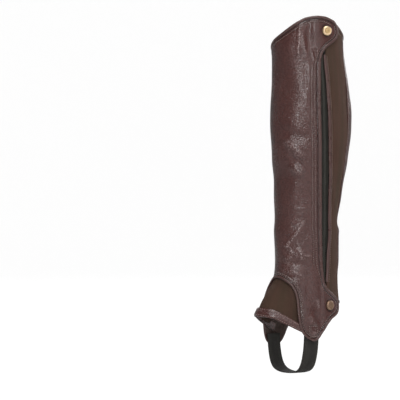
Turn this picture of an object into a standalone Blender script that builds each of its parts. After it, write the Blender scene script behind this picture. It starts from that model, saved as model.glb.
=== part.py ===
"""A leather half chap for the left leg, held in its worn shape, hollow and open at both ends.

Metres, +Z up. The front of the leg is -Y, its outer side +X, and the origin is on the leg's axis at
the fullest part of the calf. Every piece is cut in one chart: phi, degrees round the leg from the
front towards the outer side, and h, millimetres above the ground. The chart lies on one smooth leg
form, and a piece is a piece of the chart moved out from the form along its normal.
"""

import math

import bpy
import numpy as np
from mathutils import Vector
from mathutils.geometry import delaunay_2d_cdt

ORIGIN_HEIGHT = 348.0  # mm above the ground
DEGREE_WIDTH = 0.85  # mm of chart for one degree, near the mean over the leg
GAP = 0.3  # mm between two pieces
LEATHER = (1.6, 3.0)  # mm from the form: inner and outer face
ELASTIC = (1.6, 2.9)
UNDER_LAYER = (-0.05, 0.9)
GUSSET = (-0.1, 1.0)
BAND = (1.75, 2.8)
STRAP = (0.1, 1.2)
PATCH = (3.3, 4.4)
CORD_WIDTH, CORD_RISE = 1.3, 1.1  # half sizes of the bound edge
CORD_END_GAP = 1.0  # mm between the ends of two cords at the front seam
CORD_SEAT = 2.8  # mm from the form to the cord's centre on an unlifted edge
PANEL_INSET = 2 * CORD_WIDTH + 0.4
RIM_CORNER_DROP = 1.25 * PANEL_INSET  # where a panel's top meets the back seam, on the sloping rim
FACING_DEPTH = (3.4, 27.0)  # mm below the rim
TONGUE_DROP = 8.0

# Leg form: height, front, back and side half sizes in mm.
FORM = np.array(
    (
        (0.0, 102.0, 41.5, 34.5),
        (50.0, 100.0, 41.5, 36.0),
        (84.0, 88.0, 40.0, 35.0),
        (93.0, 84.2, 39.5, 34.5),
        (106.0, 77.2, 38.2, 34.0),
        (120.0, 67.4, 37.0, 33.5),
        (134.0, 57.2, 36.7, 33.0),
        (142.0, 53.0, 36.8, 32.8),
        (162.0, 50.8, 38.4, 32.5),
        (200.0, 52.2, 38.6, 32.5),
        (217.0, 50.9, 35.9, 33.0),
        (244.0, 51.8, 41.5, 34.5),
        (272.0, 51.2, 47.2, 37.0),
        (300.0, 53.9, 53.5, 39.5),
        (348.0, 56.8, 60.2, 42.0),
        (393.0, 54.0, 55.5, 41.5),
        (422.0, 53.6, 50.6, 40.2),
        (438.0, 54.6, 47.7, 39.2),
        (452.0, 56.2, 45.7, 38.4),
        (470.0, 53.0, 45.2, 37.8),
        (510.0, 49.5, 46.0, 37.0),
    )
)

# Rim: phi, height. It runs once round, from the inner side over the front.
RIM = np.array(
    (
        (-90.0, 449.5),
        (-60.0, 449.5),
        (-37.0, 451.5),
        (-20.0, 457.5),
        (0.0, 466.0),
        (16.0, 476.0),
        (32.0, 486.0),
        (45.0, 491.5),
        (65.0, 494.0),
        (80.0, 493.5),
        (95.0, 490.5),
        (110.0, 486.0),
        (122.0, 481.5),
        (132.0, 477.0),
        (145.0, 471.5),
        (160.0, 466.5),
        (180.0, 461.0),
        (210.0, 454.5),
        (240.0, 450.0),
        (270.0, 449.5),
    )
)

# Front seam of the inner side: height, phi.
FRONT_SEAM = np.array(
    (
        (40.0, -39.5),
        (70.0, -36.0),
        (100.0, -34.0),
        (150.0, -30.0),
        (200.0, -25.5),
        (245.0, -26.0),
        (390.0, -33.0),
        (470.0, -33.0),
    )
)
BACK_SEAM = 137.0

# Zip opening: height, phi of its front edge, phi of its rear edge.
ZIP = np.array(
    (
        (100.0, 86.6, 87.6),
        (126.0, 86.6, 88.4),
        (148.0, 83.2, 90.9),
        (173.0, 81.3, 93.6),
        (203.0, 79.5, 97.0),
        (245.0, 77.4, 95.0),
        (285.0, 75.4, 92.0),
        (327.0, 73.2, 87.8),
        (360.0, 72.0, 85.2),
        (400.0, 71.6, 82.6),
        (412.0, 71.8, 81.2),
        (436.0, 72.8, 78.2),
        (470.0, 72.6, 76.4),
    )
)

# Outer edges, bound with cord, in chart points (phi, height).
TOP_TAB = (
    (104.0, 488.0),
    (109.5, 484.5),
    (113.5, 479.0),
    (114.5, 472.0),
    (111.5, 465.8),
    (104.5, 460.6),
    (95.0, 455.8),
    (86.5, 452.2),
    (79.4, 447.2),
    (75.2, 441.4),
    (73.2, 433.5),
)
BOTTOM_FRONT = (
    (84.4, 140.0),
    (86.4, 132.0),
    (89.6, 126.0),
    (94.5, 122.4),
    (101.0, 119.6),
    (112.0, 114.5),
    (120.0, 110.3),
    (126.5, 105.5),
    (129.0, 100.0),
    (127.5, 94.3),
    (122.0, 89.2),
    (113.0, 85.5),
    (104.0, 82.8),
    (96.0, 78.5),
    (89.0, 74.0),
    (82.0, 67.5),
    (75.5, 61.5),
    (68.0, 56.0),
    (59.0, 53.0),
    (50.0, 55.5),
    (42.0, 61.0),
    (37.2, 70.0),
    (34.2, 84.0),
    (32.8, 100.0),
    (31.0, 112.0),
    (27.2, 122.0),
    (21.2, 129.0),
    (13.5, 134.0),
    (7.0, 136.8),
    (0.0, 138.0),
    (-6.0, 136.5),
    (-11.0, 132.0),
    (-15.0, 123.0),
    (-18.5, 109.0),
    (-22.5, 96.0),
    (-26.0, 83.0),
    (-28.5, 70.0),
    (-31.0, 57.5),
    (-34.0, 49.5),
    (-39.0, 44.5),
)
BOTTOM_BACK = (
    (-39.0, 44.5),
    (-46.0, 42.5),
    (-53.0, 44.0),
    (-60.0, 49.0),
    (-66.5, 57.0),
    (-72.5, 65.5),
    (-80.0, 72.5),
    (-90.0, 79.0),
    (-103.0, 86.5),
    (-116.0, 92.5),
    (-135.0, 98.5),
    (-160.0, 103.0),
    (-180.0, 104.0),
    (-200.0, 103.5),
    (-212.0, 102.6),
    (-222.8, 101.2),
)

# Raw edges, hidden below other pieces.
ELASTIC_BOTTOM = (
    (136.6, 101.2),
    (127.0, 96.4),
    (115.0, 91.8),
    (102.0, 90.5),
    (88.0, 91.5),
    (84.5, 95.0),
    (84.0, 108.0),
    (85.5, 118.0),
    (89.0, 124.5),
)
ELASTIC_TOP = (
    (83.2, 446.0),
    (84.0, 458.0),
    (83.0, 464.5),
    (80.0, 467.0),
    (74.5, 467.6),
    (71.5, 470.0),
    (71.0, 476.0),
)
GUSSET_EDGE = (
    (0.0, 92.0),
    (8.0, 91.0),
    (19.0, 85.0),
    (28.0, 77.5),
    (38.0, 73.0),
    (42.0, 75.0),
    (44.5, 86.0),
    (44.5, 103.0),
    (42.0, 117.0),
    (35.0, 130.0),
    (25.0, 138.5),
    (12.0, 145.0),
    (0.0, 147.5),
    (-10.0, 145.5),
    (-19.0, 138.0),
    (-25.0, 125.0),
    (-29.5, 109.0),
    (-33.0, 94.0),
    (-35.0, 81.0),
    (-34.0, 74.5),
    (-29.0, 76.5),
    (-19.0, 84.5),
    (-8.0, 91.0),
)
# Band at the gusset's foot: phi, lower height, upper height.
BAND_EDGES = np.array(
    (
        (-45.0, 62.0, 73.0),
        (-33.5, 68.5, 79.5),
        (-21.5, 77.5, 89.0),
        (-12.0, 84.5, 95.5),
        (0.0, 87.0, 98.0),
        (12.0, 85.0, 96.0),
        (21.5, 78.0, 89.0),
        (33.5, 69.5, 79.8),
        (48.0, 61.5, 71.5),
    )
)
# Grip patch on the inner calf.
PATCH_EDGE = (
    (-104.0, 406.0),
    (-90.0, 404.0),
    (-77.0, 397.0),
    (-67.0, 385.0),
    (-62.5, 370.0),
    (-62.5, 332.0),
    (-60.0, 295.0),
    (-58.5, 261.0),
    (-62.0, 228.0),
    (-72.0, 197.0),
    (-84.0, 181.0),
    (-103.0, 175.0),
    (-122.0, 181.0),
    (-134.0, 197.0),
    (-144.0, 228.0),
    (-148.0, 261.0),
    (-147.0, 295.0),
    (-145.5, 332.0),
    (-145.5, 370.0),
    (-141.0, 385.0),
    (-131.0, 397.0),
    (-118.0, 404.0),
)
# Strap under the sole: half width of the foot there (signed), height.
STRAP_LINE = (
    (35.3, 74.0),
    (35.7, 62.0),
    (35.9, 50.0),
    (35.6, 40.0),
    (34.6, 30.0),
    (32.2, 21.5),
    (28.2, 15.5),
    (21.6, 11.8),
    (12.0, 9.8),
    (0.0, 9.3),
    (-12.0, 9.8),
    (-21.6, 11.8),
    (-28.2, 15.5),
    (-32.2, 21.5),
    (-34.6, 30.0),
    (-35.6, 40.0),
    (-35.9, 50.0),
    (-35.7, 60.0),
)
STRAP_LEAVES = 38.0  # above this height the strap lies on the form
STRAP_CENTRES = (-23.0, -38.0)  # y at the outer and at the inner end
STRAP_HALF = 11.5

SNAPS = (("top", 85.0, 474.0), ("bottom", 97.5, 101.0))
CAP_PROFILE = ((0.0, 2.5), (3.6, 2.35), (5.8, 1.8), (7.1, 1.0), (7.5, 0.4), (7.3, 0.0), (0.0, 0.0))
BACK_PROFILE = ((0.0, 0.98), (5.6, 0.98), (6.0, 0.7), (5.6, 0.1), (3.2, 0.0), (0.0, 0.0))
SNAP_SIDES = 18
SLIDER_AT = (74.8, 457.5)
SLIDER_OUTLINE = ((-2.0, -4.2), (2.0, -4.2), (3.0, -2.5), (3.0, 2.4), (1.8, 4.2), (-1.8, 4.2),
                  (-3.0, 2.4), (-3.0, -2.5))  # fmt: skip
SLIDER = (1.6, 3.15)
ZIP_TAPE_ENDS = (109.5, 465.5)
ZIP_TAPE_SIDE = 6.2  # mm of tape beyond each edge of the opening

ROWS = np.array(
    (482, 466, 452, 436, 418, 400, 382, 364, 346, 328, 310, 292, 276, 262, 249, 237, 227, 217, 207,
     196, 183, 169, 156, 146, 138, 130, 121, 111, 101, 91, 80, 69, 58, 49), float)  # fmt: skip
COLUMNS = np.array(
    (-240, -231, -223, -215, -208, -201, -194, -185, -176, -167, -158, -149, -140, -130, -119, -107, -95, -83,
     -71, -60, -51, -43, -36, -29, -23, -17, -11, -5, 0, 5, 11, 17, 23, 29, 36, 43, 51, 60, 71, 83,
     95, 107, 119, 128, 137), float)  # fmt: skip

# Colour and roughness of each material.
LOOKS = {
    "leather": ((0.090, 0.045, 0.040), 0.42),
    "binding": ((0.060, 0.030, 0.027), 0.38),
    "elastic": ((0.075, 0.045, 0.030), 0.85),
    "webbing": ((0.030, 0.026, 0.022), 0.8),
    "brass": ((0.60, 0.42, 0.20), 0.28),
}
METALS = ("brass",)


# ---------------------------------------------------------------- numbers


def smooth(table, column, at):
    """A monotone smooth line through the table's points, read at each value of `at`."""
    xs, ys = table[:, 0], table[:, column]
    run, rise = np.diff(xs), np.diff(ys) / np.diff(xs)
    slope = np.zeros(len(xs))
    slope[0], slope[-1] = rise[0], rise[-1]
    same = rise[:-1] * rise[1:] > 0
    before, after = 2 * run[1:] + run[:-1], run[1:] + 2 * run[:-1]
    with np.errstate(divide="ignore", invalid="ignore"):
        mean = (before + after) / (before / rise[:-1] + after / rise[1:])
    slope[1:-1] = np.where(same, mean, 0.0)
    at = np.clip(np.asarray(at, float), xs[0], xs[-1])
    cell = np.clip(np.searchsorted(xs, at) - 1, 0, len(run) - 1)
    t = (at - xs[cell]) / run[cell]
    left, right = ys[cell], ys[cell + 1]
    return (
        left * (1 + 2 * t) * (1 - t) ** 2
        + slope[cell] * run[cell] * t * (1 - t) ** 2
        + right * t**2 * (3 - 2 * t)
        - slope[cell + 1] * run[cell] * t**2 * (1 - t)
    )


def step(value, low, high):
    """0 below low, 1 above high, and a soft rise between them."""
    t = np.clip((np.asarray(value, float) - low) / (high - low), 0.0, 1.0)
    return t * t * (3 - 2 * t)


def rim(phi):
    return smooth(RIM, 1, (np.asarray(phi, float) + 90.0) % 360.0 - 90.0)


def on_form(phi, h):
    """Points of the leg form, in mm."""
    phi, h = np.broadcast_arrays(np.asarray(phi, float), np.asarray(h, float))
    angle = np.radians(phi)
    fore = np.where(np.cos(angle) > 0, smooth(FORM, 1, h), smooth(FORM, 2, h))
    radius = 1 / np.hypot(np.cos(angle) / fore, np.sin(angle) / smooth(FORM, 3, h))
    return np.stack([radius * np.sin(angle), -radius * np.cos(angle), h - ORIGIN_HEIGHT], -1)


def ways(phi, h):
    """How the form runs there: the change for one degree, and for one mm of height."""
    round_it = (on_form(phi + 0.5, h) - on_form(phi - 0.5, h)) / 1.0
    up_it = (on_form(phi, h + 1.0) - on_form(phi, h - 1.0)) / 2.0
    return round_it, up_it


def unit(vectors):
    return vectors / np.linalg.norm(vectors, axis=-1, keepdims=True)


def normals(phi, h):
    return unit(np.cross(*ways(np.asarray(phi, float), np.asarray(h, float))))


def moved_out(chart, offset):
    chart = np.asarray(chart, float)
    offset = np.broadcast_to(offset, len(chart))
    return on_form(chart[:, 0], chart[:, 1]) + normals(chart[:, 0], chart[:, 1]) * offset[:, None]


# ---------------------------------------------------------------- lines in the chart


def spline(points, spacing):
    """A smooth line through chart points, with a point about every `spacing` mm."""
    points = np.asarray(points, float) * (DEGREE_WIDTH, 1.0)
    ends = np.vstack([2 * points[0] - points[1], points, 2 * points[-1] - points[-2]])
    line = []
    for a, b, c, d in zip(ends, ends[1:], ends[2:], ends[3:]):
        t = np.linspace(0, 1, 12, endpoint=False)[:, None]
        line.append(
            b + 0.5 * t * (c - a + t * (2 * a - 5 * b + 4 * c - d + t * (3 * (b - c) + d - a)))
        )
    line = np.vstack(line + [points[-1:]])
    along = np.concatenate([[0], np.cumsum(np.linalg.norm(np.diff(line, axis=0), axis=1))])
    count = max(2, round(along[-1] / spacing) + 1)
    at = np.linspace(0, along[-1], count)
    return np.stack([np.interp(at, along, line[:, k]) for k in (0, 1)], 1) / (DEGREE_WIDTH, 1.0)


def rim_line(first, last):
    inside = COLUMNS[(COLUMNS > first + 1.5) & (COLUMNS < last - 1.5)]
    phi = np.concatenate([[first], inside, [last]])
    return np.stack([phi, rim(phi)], 1)


def rows_between(low, high):
    """Heights of the shared rows, going up."""
    return ROWS[(ROWS > low) & (ROWS < high)][::-1]


def shifted(line, distance):
    """The line moved to its right hand, seen from outside, by so many mm over the form."""
    line = np.asarray(line, float)
    round_it, up_it = ways(line[:, 0], line[:, 1])
    points = on_form(line[:, 0], line[:, 1])
    right = np.cross(unit(np.gradient(points, axis=0)), unit(np.cross(round_it, up_it)))
    rr, ru, uu = (np.sum(a * b, 1) for a, b in ((round_it, round_it), (round_it, up_it), (up_it, up_it)))
    pr, pu = np.sum(right * round_it, 1), np.sum(right * up_it, 1)
    det = rr * uu - ru * ru
    return line + distance * np.stack([(pr * uu - pu * ru) / det, (pu * rr - pr * ru) / det], 1)


def cut_at(line, keep):
    """The part of the line where `keep` is positive, ending at the crossing."""
    sign = keep(line)
    kept = []
    for i, point in enumerate(line):
        if i and sign[i] * sign[i - 1] < 0:
            t = sign[i - 1] / (sign[i - 1] - sign[i])
            kept.append(line[i - 1] + t * (point - line[i - 1]))
        if sign[i] > 0:
            kept.append(point)
    return np.array(kept)


def front_seam(h):
    return smooth(FRONT_SEAM, 1, h)


def mm_to_degrees(phi, h, distance):
    return distance / np.linalg.norm(ways(np.asarray(phi, float), np.asarray(h, float))[0], axis=-1)


def zip_edge(column, low, high):
    h = rows_between(low, high)
    return np.stack([smooth(ZIP, column, h), h], 1)


def tidy(line, least=1.2):
    """The line without points that crowd their neighbour."""
    kept = [line[0]]
    for point in line[1:]:
        if np.hypot(*((point - kept[-1]) * (DEGREE_WIDTH, 1.0))) > least:
            kept.append(point)
    return np.array(kept)


# ---------------------------------------------------------------- meshes


def clear_scene():
    for obj in list(bpy.data.objects):
        bpy.data.objects.remove(obj)


def material(name, look):
    made = bpy.data.materials.new(name)
    made.use_nodes = True
    shader = made.node_tree.nodes["Principled BSDF"]
    colour, roughness = LOOKS[look]
    shader.inputs["Base Color"].default_value = (*colour, 1.0)
    shader.inputs["Roughness"].default_value = roughness
    shader.inputs["Metallic"].default_value = 1.0 if look in METALS else 0.0
    return made


def volume_of(points, faces):
    total = 0.0
    for face in faces:
        for i in range(1, len(face) - 1):
            total += np.dot(points[face[0]], np.cross(points[face[i]], points[face[i + 1]]))
    return total


def add_solid(name, points, faces, look):
    points = np.asarray(points, float)
    if volume_of(points, faces) < 0:
        faces = [tuple(reversed(face)) for face in faces]
    mesh = bpy.data.meshes.new(name)
    mesh.from_pydata((points / 1000.0).tolist(), [], [tuple(map(int, face)) for face in faces])
    mesh.materials.append(material(name, look))
    obj = bpy.data.objects.new(name, mesh)
    COLLECTION.objects.link(obj)
    return obj


def inside(points, loop):
    """Which points lie in the closed loop, by the crossing rule."""
    x, y = points[:, 0:1], points[:, 1:2]
    x0, y0 = loop[:, 0], loop[:, 1]
    x1, y1 = np.roll(x0, -1), np.roll(y0, -1)
    crosses = (y0 > y) != (y1 > y)
    with np.errstate(divide="ignore", invalid="ignore"):
        at = x0 + (y - y0) * (x1 - x0) / (y1 - y0)
    return (crosses & (x < at)).sum(1) % 2 == 1


def distance_to(points, loop):
    a, b = loop, np.roll(loop, -1, 0)
    way = b - a
    t = np.einsum("pij,ij->pi", points[:, None] - a, way) / np.maximum(np.sum(way**2, 1), 1e-9)
    near = a + np.clip(t, 0, 1)[..., None] * way
    return np.linalg.norm(points[:, None] - near, axis=2).min(1)


def cut_cloth(outline, lines=(), columns=COLUMNS, rows=ROWS, clear=3.0):
    """Triangulates the chart inside a closed outline, through the shared lattice and given loops."""
    scale = np.array((DEGREE_WIDTH, 1.0))
    loops = [np.asarray(loop, float) * scale for loop in (outline, *lines)]
    lattice = np.stack(np.meshgrid(columns, rows), -1).reshape(-1, 2) * scale
    lattice = lattice[inside(lattice, loops[0])]
    for loop in loops:
        lattice = lattice[distance_to(lattice, loop) > clear]
    flat = np.vstack([*loops, lattice])
    first, edges = len(loops[0]), []
    for loop in loops[1:]:
        numbers = list(range(first, first + len(loop)))
        edges += list(zip(numbers, numbers[1:] + numbers[:1]))
        first += len(loop)
    made = delaunay_2d_cdt(
        [Vector(point) for point in flat], edges, [list(range(len(loops[0])))], 1, 1e-5
    )
    chart = np.array([tuple(point) for point in made[0]]) / scale
    return chart, [tuple(face) for face in made[2]]


def walls(chart, faces, inner, outer):
    """Points and faces of the cloth between two offsets, closed along its edge."""
    used = sorted({i for face in faces for i in face})
    number = {old: new for new, old in enumerate(used)}
    chart, faces = chart[used], [tuple(number[i] for i in face) for face in faces]
    count = len(chart)
    points = np.vstack([moved_out(chart, outer(chart)), moved_out(chart, inner(chart))])
    ends = {(a, b) for face in faces for a, b in zip(face, face[1:] + face[:1])}
    rim_edges = [(a, b) for a, b in ends if (b, a) not in ends]
    back = [tuple(i + count for i in reversed(face)) for face in faces]
    sides = [(b, a, a + count, b + count) for a, b in rim_edges]
    return points, faces + back + sides


def cloth(name, cut, layer, lift, look):
    chart, faces = cut
    made = walls(chart, faces, lambda c: layer[0] + lift(c), lambda c: layer[1] + lift(c))
    return add_solid(name, *made, look)


def tube(name, centre, side, rise, look, corners=6):
    """A cord: one oval ring at each point of a line, with flat ends."""
    angles = np.arange(corners) * 2 * math.pi / corners
    rings = centre[:, None] + side[:, None] * np.cos(angles)[None, :, None] * CORD_WIDTH
    rings = rings + rise[:, None] * np.sin(angles)[None, :, None] * CORD_RISE
    count, faces = len(centre), []
    for i in range(count - 1):
        for k in range(corners):
            here, there = i * corners, (i + 1) * corners
            after = (k + 1) % corners
            faces.append((here + k, here + after, there + after, there + k))
    faces.append(tuple(range(corners - 1, -1, -1)))
    faces.append(tuple((count - 1) * corners + k for k in range(corners)))
    return add_solid(name, rings.reshape(-1, 3), faces, look)


def cord(name, line, lift, look):
    """A bound edge along a traced outer edge: its centre lies half a cord inside the line."""
    path = shifted(line, CORD_WIDTH)
    rise = normals(path[:, 0], path[:, 1])
    centre = moved_out(path, CORD_SEAT + lift(path))
    side = unit(np.cross(unit(np.gradient(centre, axis=0)), rise))
    return tube(name, centre, side, unit(np.cross(side, np.gradient(centre, axis=0))) * -1.0, look)


def grid_faces(across, along):
    faces = []
    for j in range(along - 1):
        for i in range(across - 1):
            a = j * across + i
            faces.append((a, a + 1, a + across + 1, a + across))
    return faces


def strip(name, chart_rows, layer, look):
    """Cloth from rows of chart points, all rows as long as each other."""
    chart = np.vstack(chart_rows)
    faces = grid_faces(len(chart_rows[0]), len(chart_rows))
    made = walls(chart, faces, lambda c: layer[0], lambda c: layer[1])
    return add_solid(name, *made, look)


def frame_at(phi, h):
    """Axes on the form: round it, up it and out of it."""
    out = normals(phi, h)
    round_it = unit(ways(np.float64(phi), np.float64(h))[0])
    return np.array([round_it, np.cross(out, round_it), out])


def lathe(name, profile, at, axes, look):
    points, faces, rings = [], [], []
    for radius, height in profile:
        if radius < 1e-6:
            rings.append([len(points)])
            points.append(at + axes[2] * height)
            continue
        rings.append(list(range(len(points), len(points) + SNAP_SIDES)))
        for k in range(SNAP_SIDES):
            turn = 2 * math.pi * k / SNAP_SIDES
            flat = axes[0] * math.cos(turn) + axes[1] * math.sin(turn)
            points.append(at + flat * radius + axes[2] * height)
    for here, there in zip(rings, rings[1:]):
        for k in range(SNAP_SIDES):
            after = (k + 1) % SNAP_SIDES
            ring = [here[k % len(here)], here[after % len(here)]]
            ring += [there[after % len(there)], there[k % len(there)]]
            faces.append(tuple(dict.fromkeys(ring)))
    return add_solid(name, points, faces, look)


# ---------------------------------------------------------------- lifts


def no_lift(chart):
    return np.zeros(len(chart))


def front_lift(chart):
    """How far the front panel stands off: over the rear tongue, the rear panel's foot and the band."""
    phi, h = chart[:, 0], chart[:, 1]
    top = 2.0 * step(phi, 55, 68) * step(h, 438, 452)
    bottom = 1.9 * step(phi, 74, 83) * (1 - step(h, 124, 138))
    return np.maximum(np.maximum(top, bottom), flap_lift(chart))


def flap_lift(chart):
    phi, h = np.abs(chart[:, 0]), chart[:, 1]
    return 1.6 * (1 - step(h, 84, 102)) * (1 - step(phi, 52, 66))


# ---------------------------------------------------------------- the pieces


def front_edge():
    """The front panel's traced outer edge, from the seam's top round to the seam's foot."""
    parts = [
        rim_line(float(front_seam(453.0)) - 1.0, 98.5),
        spline(TOP_TAB, 6.0),
        zip_edge(1, 146, 427)[::-1],
        spline(BOTTOM_FRONT, 6.0),
    ]
    return tidy(np.vstack(parts), 2.2)


def seam_line(low, high, side):
    """The front seam going up, with half a gap to one side."""
    h = np.concatenate([[low], rows_between(low + 3, high - 3), [high]])
    phi = front_seam(h)
    return np.stack([phi + side * mm_to_degrees(phi, h, GAP / 2), h], 1)


def seam_side(line, side, gap=GAP):
    """How far a line's points are past the seam's gap, in degrees, on the side of the panel."""
    edge = front_seam(line[:, 1])
    return side * (line[:, 0] - edge) - mm_to_degrees(edge, line[:, 1], gap / 2)


def front_panel(edge):
    inner = cut_at(shifted(edge, PANEL_INSET), lambda line: seam_side(line, 1))
    seam = seam_line(inner[-1, 1], inner[0, 1], 1)
    outline = np.vstack([inner, seam[1:-1]])
    cloth("front_panel", cut_cloth(outline), LEATHER, front_lift, "leather")


def cord_to_seam(edge, side):
    return cut_at(edge, lambda line: seam_side(line, side, CORD_END_GAP))


def medial_panel():
    top = shifted(rim_line(-222.5, float(front_seam(453.0)) + 1.0), PANEL_INSET)
    top = cut_at(top, lambda line: seam_side(line, -1))
    back = BACK_SEAM - 360.0 + mm_to_degrees(BACK_SEAM, 300.0, GAP / 2)
    top[0] = back, float(rim(back)) - RIM_CORNER_DROP
    hem = spline(BOTTOM_FRONT[-3:-1] + BOTTOM_BACK, 6.0)
    hem = cut_at(shifted(hem, PANEL_INSET), lambda line: seam_side(line, -1))
    hem[-1, 0] = back
    seam = seam_line(hem[0, 1], top[-1, 1], -1)[::-1]
    rows = rows_between(hem[-1, 1] + 3, top[0, 1] - 3)
    rear = np.stack([np.full(len(rows), back), rows], 1)
    outline = tidy(np.vstack([top, seam[1:-1], hem, rear]), 1.0)
    patch = tidy(spline(PATCH_EDGE + PATCH_EDGE[:1], 9.0)[:-1], 2.0)
    chart, faces = cut_cloth(outline, [patch])
    cloth("medial_panel", (chart, faces), LEATHER, flap_lift, "leather")
    middle = np.array([chart[list(face)].mean(0) for face in faces])
    on_patch = inside(middle, patch)
    patch_faces = [face for face, within in zip(faces, on_patch) if within]
    cloth("calf_patch", (chart, patch_faces), PATCH, flap_lift, "leather")


def elastic_panel():
    """The stretch panel behind the zip, with a tongue under the top tab and a foot under the bottom tab."""
    back = BACK_SEAM - mm_to_degrees(BACK_SEAM, 300.0, GAP / 2)
    tongue_phi = np.array((74.0, 83.0, 95.0, 107.5))
    tongue = np.stack([tongue_phi, rim(tongue_phi) - TONGUE_DROP], 1)
    top = shifted(np.stack([(a := np.array((111.5, 120.0, 129.0, back))), rim(a)], 1), PANEL_INSET)
    top[-1] = back, float(rim(back)) - RIM_CORNER_DROP
    bottom = spline(ELASTIC_BOTTOM, 6.0)
    bottom[0, 0] = back
    rows = rows_between(bottom[0, 1] + 3, top[-1, 1] - 3)[::-1]
    rear = np.stack([np.full(len(rows), back), rows], 1)
    opening = shifted(zip_edge(2, 128, 440), PANEL_INSET)
    upper = spline(ELASTIC_TOP, 5.0)
    outline = tidy(np.vstack([tongue, top, rear, bottom, opening, upper]), 1.0)
    cloth("elastic_panel", cut_cloth(outline), ELASTIC, no_lift, "elastic")


def zip_tape():
    rows = []
    heights = np.concatenate(
        [[ZIP_TAPE_ENDS[0]], rows_between(ZIP_TAPE_ENDS[0] + 4, ZIP_TAPE_ENDS[1] - 4), [ZIP_TAPE_ENDS[1]]]
    )
    for h in heights:
        front, rear = float(smooth(ZIP, 1, h)), float(smooth(ZIP, 2, h))
        beyond = float(mm_to_degrees(front, h, ZIP_TAPE_SIDE))
        phi = np.array((front - beyond, front, (front + rear) / 2, rear, rear + beyond))
        rows.append(np.stack([phi, np.full(5, h)], 1))
    strip("zip_tape", rows, UNDER_LAYER, "webbing")


def top_facing():
    """The folded facing inside the rim, open at the zip."""
    phi = np.concatenate([[-256.0, -248.0], COLUMNS[(COLUMNS < 53)], [54.0]])
    rows = [np.stack([phi, rim(phi) - drop], 1) for drop in np.linspace(*FACING_DEPTH[::-1], 5)]
    strip("top_facing", rows, UNDER_LAYER, "leather")


def front_gusset():
    edge = tidy(spline(GUSSET_EDGE + GUSSET_EDGE[:1], 5.5)[:-1], 1.5)
    columns = np.arange(-42.0, 46.0, 3.5)
    rows = np.array((140.0, 131.0, 121.0, 111.0, 101.0, 91.0, 82.0))
    cloth("front_gusset", cut_cloth(edge, columns=columns, rows=rows, clear=2.2), GUSSET, no_lift, "elastic")


def front_band():
    phi = np.concatenate([[-45.0], np.arange(-42.0, 47.0, 3.5), [48.0]])
    rows = [np.stack([phi, smooth(BAND_EDGES, column, phi)], 1) for column in (1, 2)]
    strip("front_band", rows, BAND, "leather")


def stirrup_strap():
    """A flat strap from inside one flap, under the arch of the foot, to inside the other."""
    line = np.array(STRAP_LINE)
    count = len(line)
    centre = np.linspace(*STRAP_CENTRES, count)
    across = np.linspace(-STRAP_HALF, STRAP_HALF, 4)
    y = centre[:, None] + across[None, :]
    on_leg = line[:, 1] > STRAP_LEAVES
    half = np.where(on_leg, np.sign(line[:, 0]) * smooth(FORM, 3, line[:, 1]), line[:, 0])[:, None]
    x = half * np.sqrt(1 - (y / smooth(FORM, 1, line[:, 1])[:, None]) ** 2)
    middle = np.stack([x, y, np.broadcast_to(line[:, 1:], x.shape) - ORIGIN_HEIGHT], -1)
    out = unit(np.cross(np.gradient(middle, axis=0), np.gradient(middle, axis=1)))
    if out[0, 0, 0] < 0:
        out = -out
    outer, inner = middle + out * STRAP[1], middle + out * STRAP[0]
    faces = grid_faces(4, count)
    total = 4 * count
    ends = {(a, b) for face in faces for a, b in zip(face, face[1:] + face[:1])}
    sides = [(b, a, a + total, b + total) for a, b in ends if (b, a) not in ends]
    back = [tuple(i + total for i in reversed(face)) for face in faces]
    points = np.vstack([outer.reshape(-1, 3), inner.reshape(-1, 3)])
    add_solid("stirrup_strap", points, faces + back + sides, "webbing")


def bound_edges(edge):
    cord("binding_front", cord_to_seam(edge, 1), front_lift, "binding")
    rear_rim = rim_line(-247.8, float(front_seam(453.0)) + 1.0)
    cord("binding_top_back", cord_to_seam(rear_rim, -1), no_lift, "binding")
    hem = cord_to_seam(spline(BOTTOM_FRONT[-3:-1] + BOTTOM_BACK, 6.5), -1)
    hem = hem[hem[:, 0] > -221.5]
    cord("binding_hem_back", hem, flap_lift, "binding")
    opening = zip_edge(2, 133, 432)
    opening = np.vstack([opening, [[float(smooth(ZIP, 2, 441.0)), 441.0]]])
    cord("binding_zip_back", opening, no_lift, "binding")


def snaps():
    for name, phi, h in SNAPS:
        axes = frame_at(phi, h)
        ground = on_form(phi, h)
        top = LEATHER[1] + float(front_lift(np.array([[phi, h]]))[0]) + GAP
        lathe("snap_cap_" + name, CAP_PROFILE, ground + axes[2] * top, axes, "brass")
        lathe("snap_back_" + name, BACK_PROFILE, ground + axes[2] * 0.05, axes, "brass")


def zip_slider():
    phi, h = SLIDER_AT
    axes, ground = frame_at(phi, h), on_form(phi, h)
    flat = [ground + axes[0] * x + axes[1] * y for x, y in SLIDER_OUTLINE]
    count = len(flat)
    points = [p + axes[2] * out for out in SLIDER for p in flat]
    faces = [tuple(range(count))[::-1], tuple(range(count, 2 * count))]
    faces += [(k, (k + 1) % count, (k + 1) % count + count, k + count) for k in range(count)]
    add_solid("zip_slider", points, faces, "brass")


clear_scene()
COLLECTION = bpy.data.collections.new("half_chap")
bpy.context.scene.collection.children.link(COLLECTION)
FRONT_EDGE = front_edge()
front_panel(FRONT_EDGE)
medial_panel()
elastic_panel()
zip_tape()
top_facing()
front_gusset()
front_band()
stirrup_strap()
bound_edges(FRONT_EDGE)
snaps()
zip_slider()
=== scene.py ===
"""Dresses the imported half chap: leather, stretch cloth, bound edges, zip, snaps and stitches.

Every piece is cut in the same chart as the solids: phi, degrees round the leg from the front
towards the outer side, and h, millimetres above the ground. A line is an array of such chart
points. Numbers in the tables are millimetres and degrees; points are turned into metres when a
mesh is made.
"""

import math

import bpy
import numpy as np
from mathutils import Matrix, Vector
from mathutils.geometry import delaunay_2d_cdt
from mathutils.kdtree import KDTree


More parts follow.
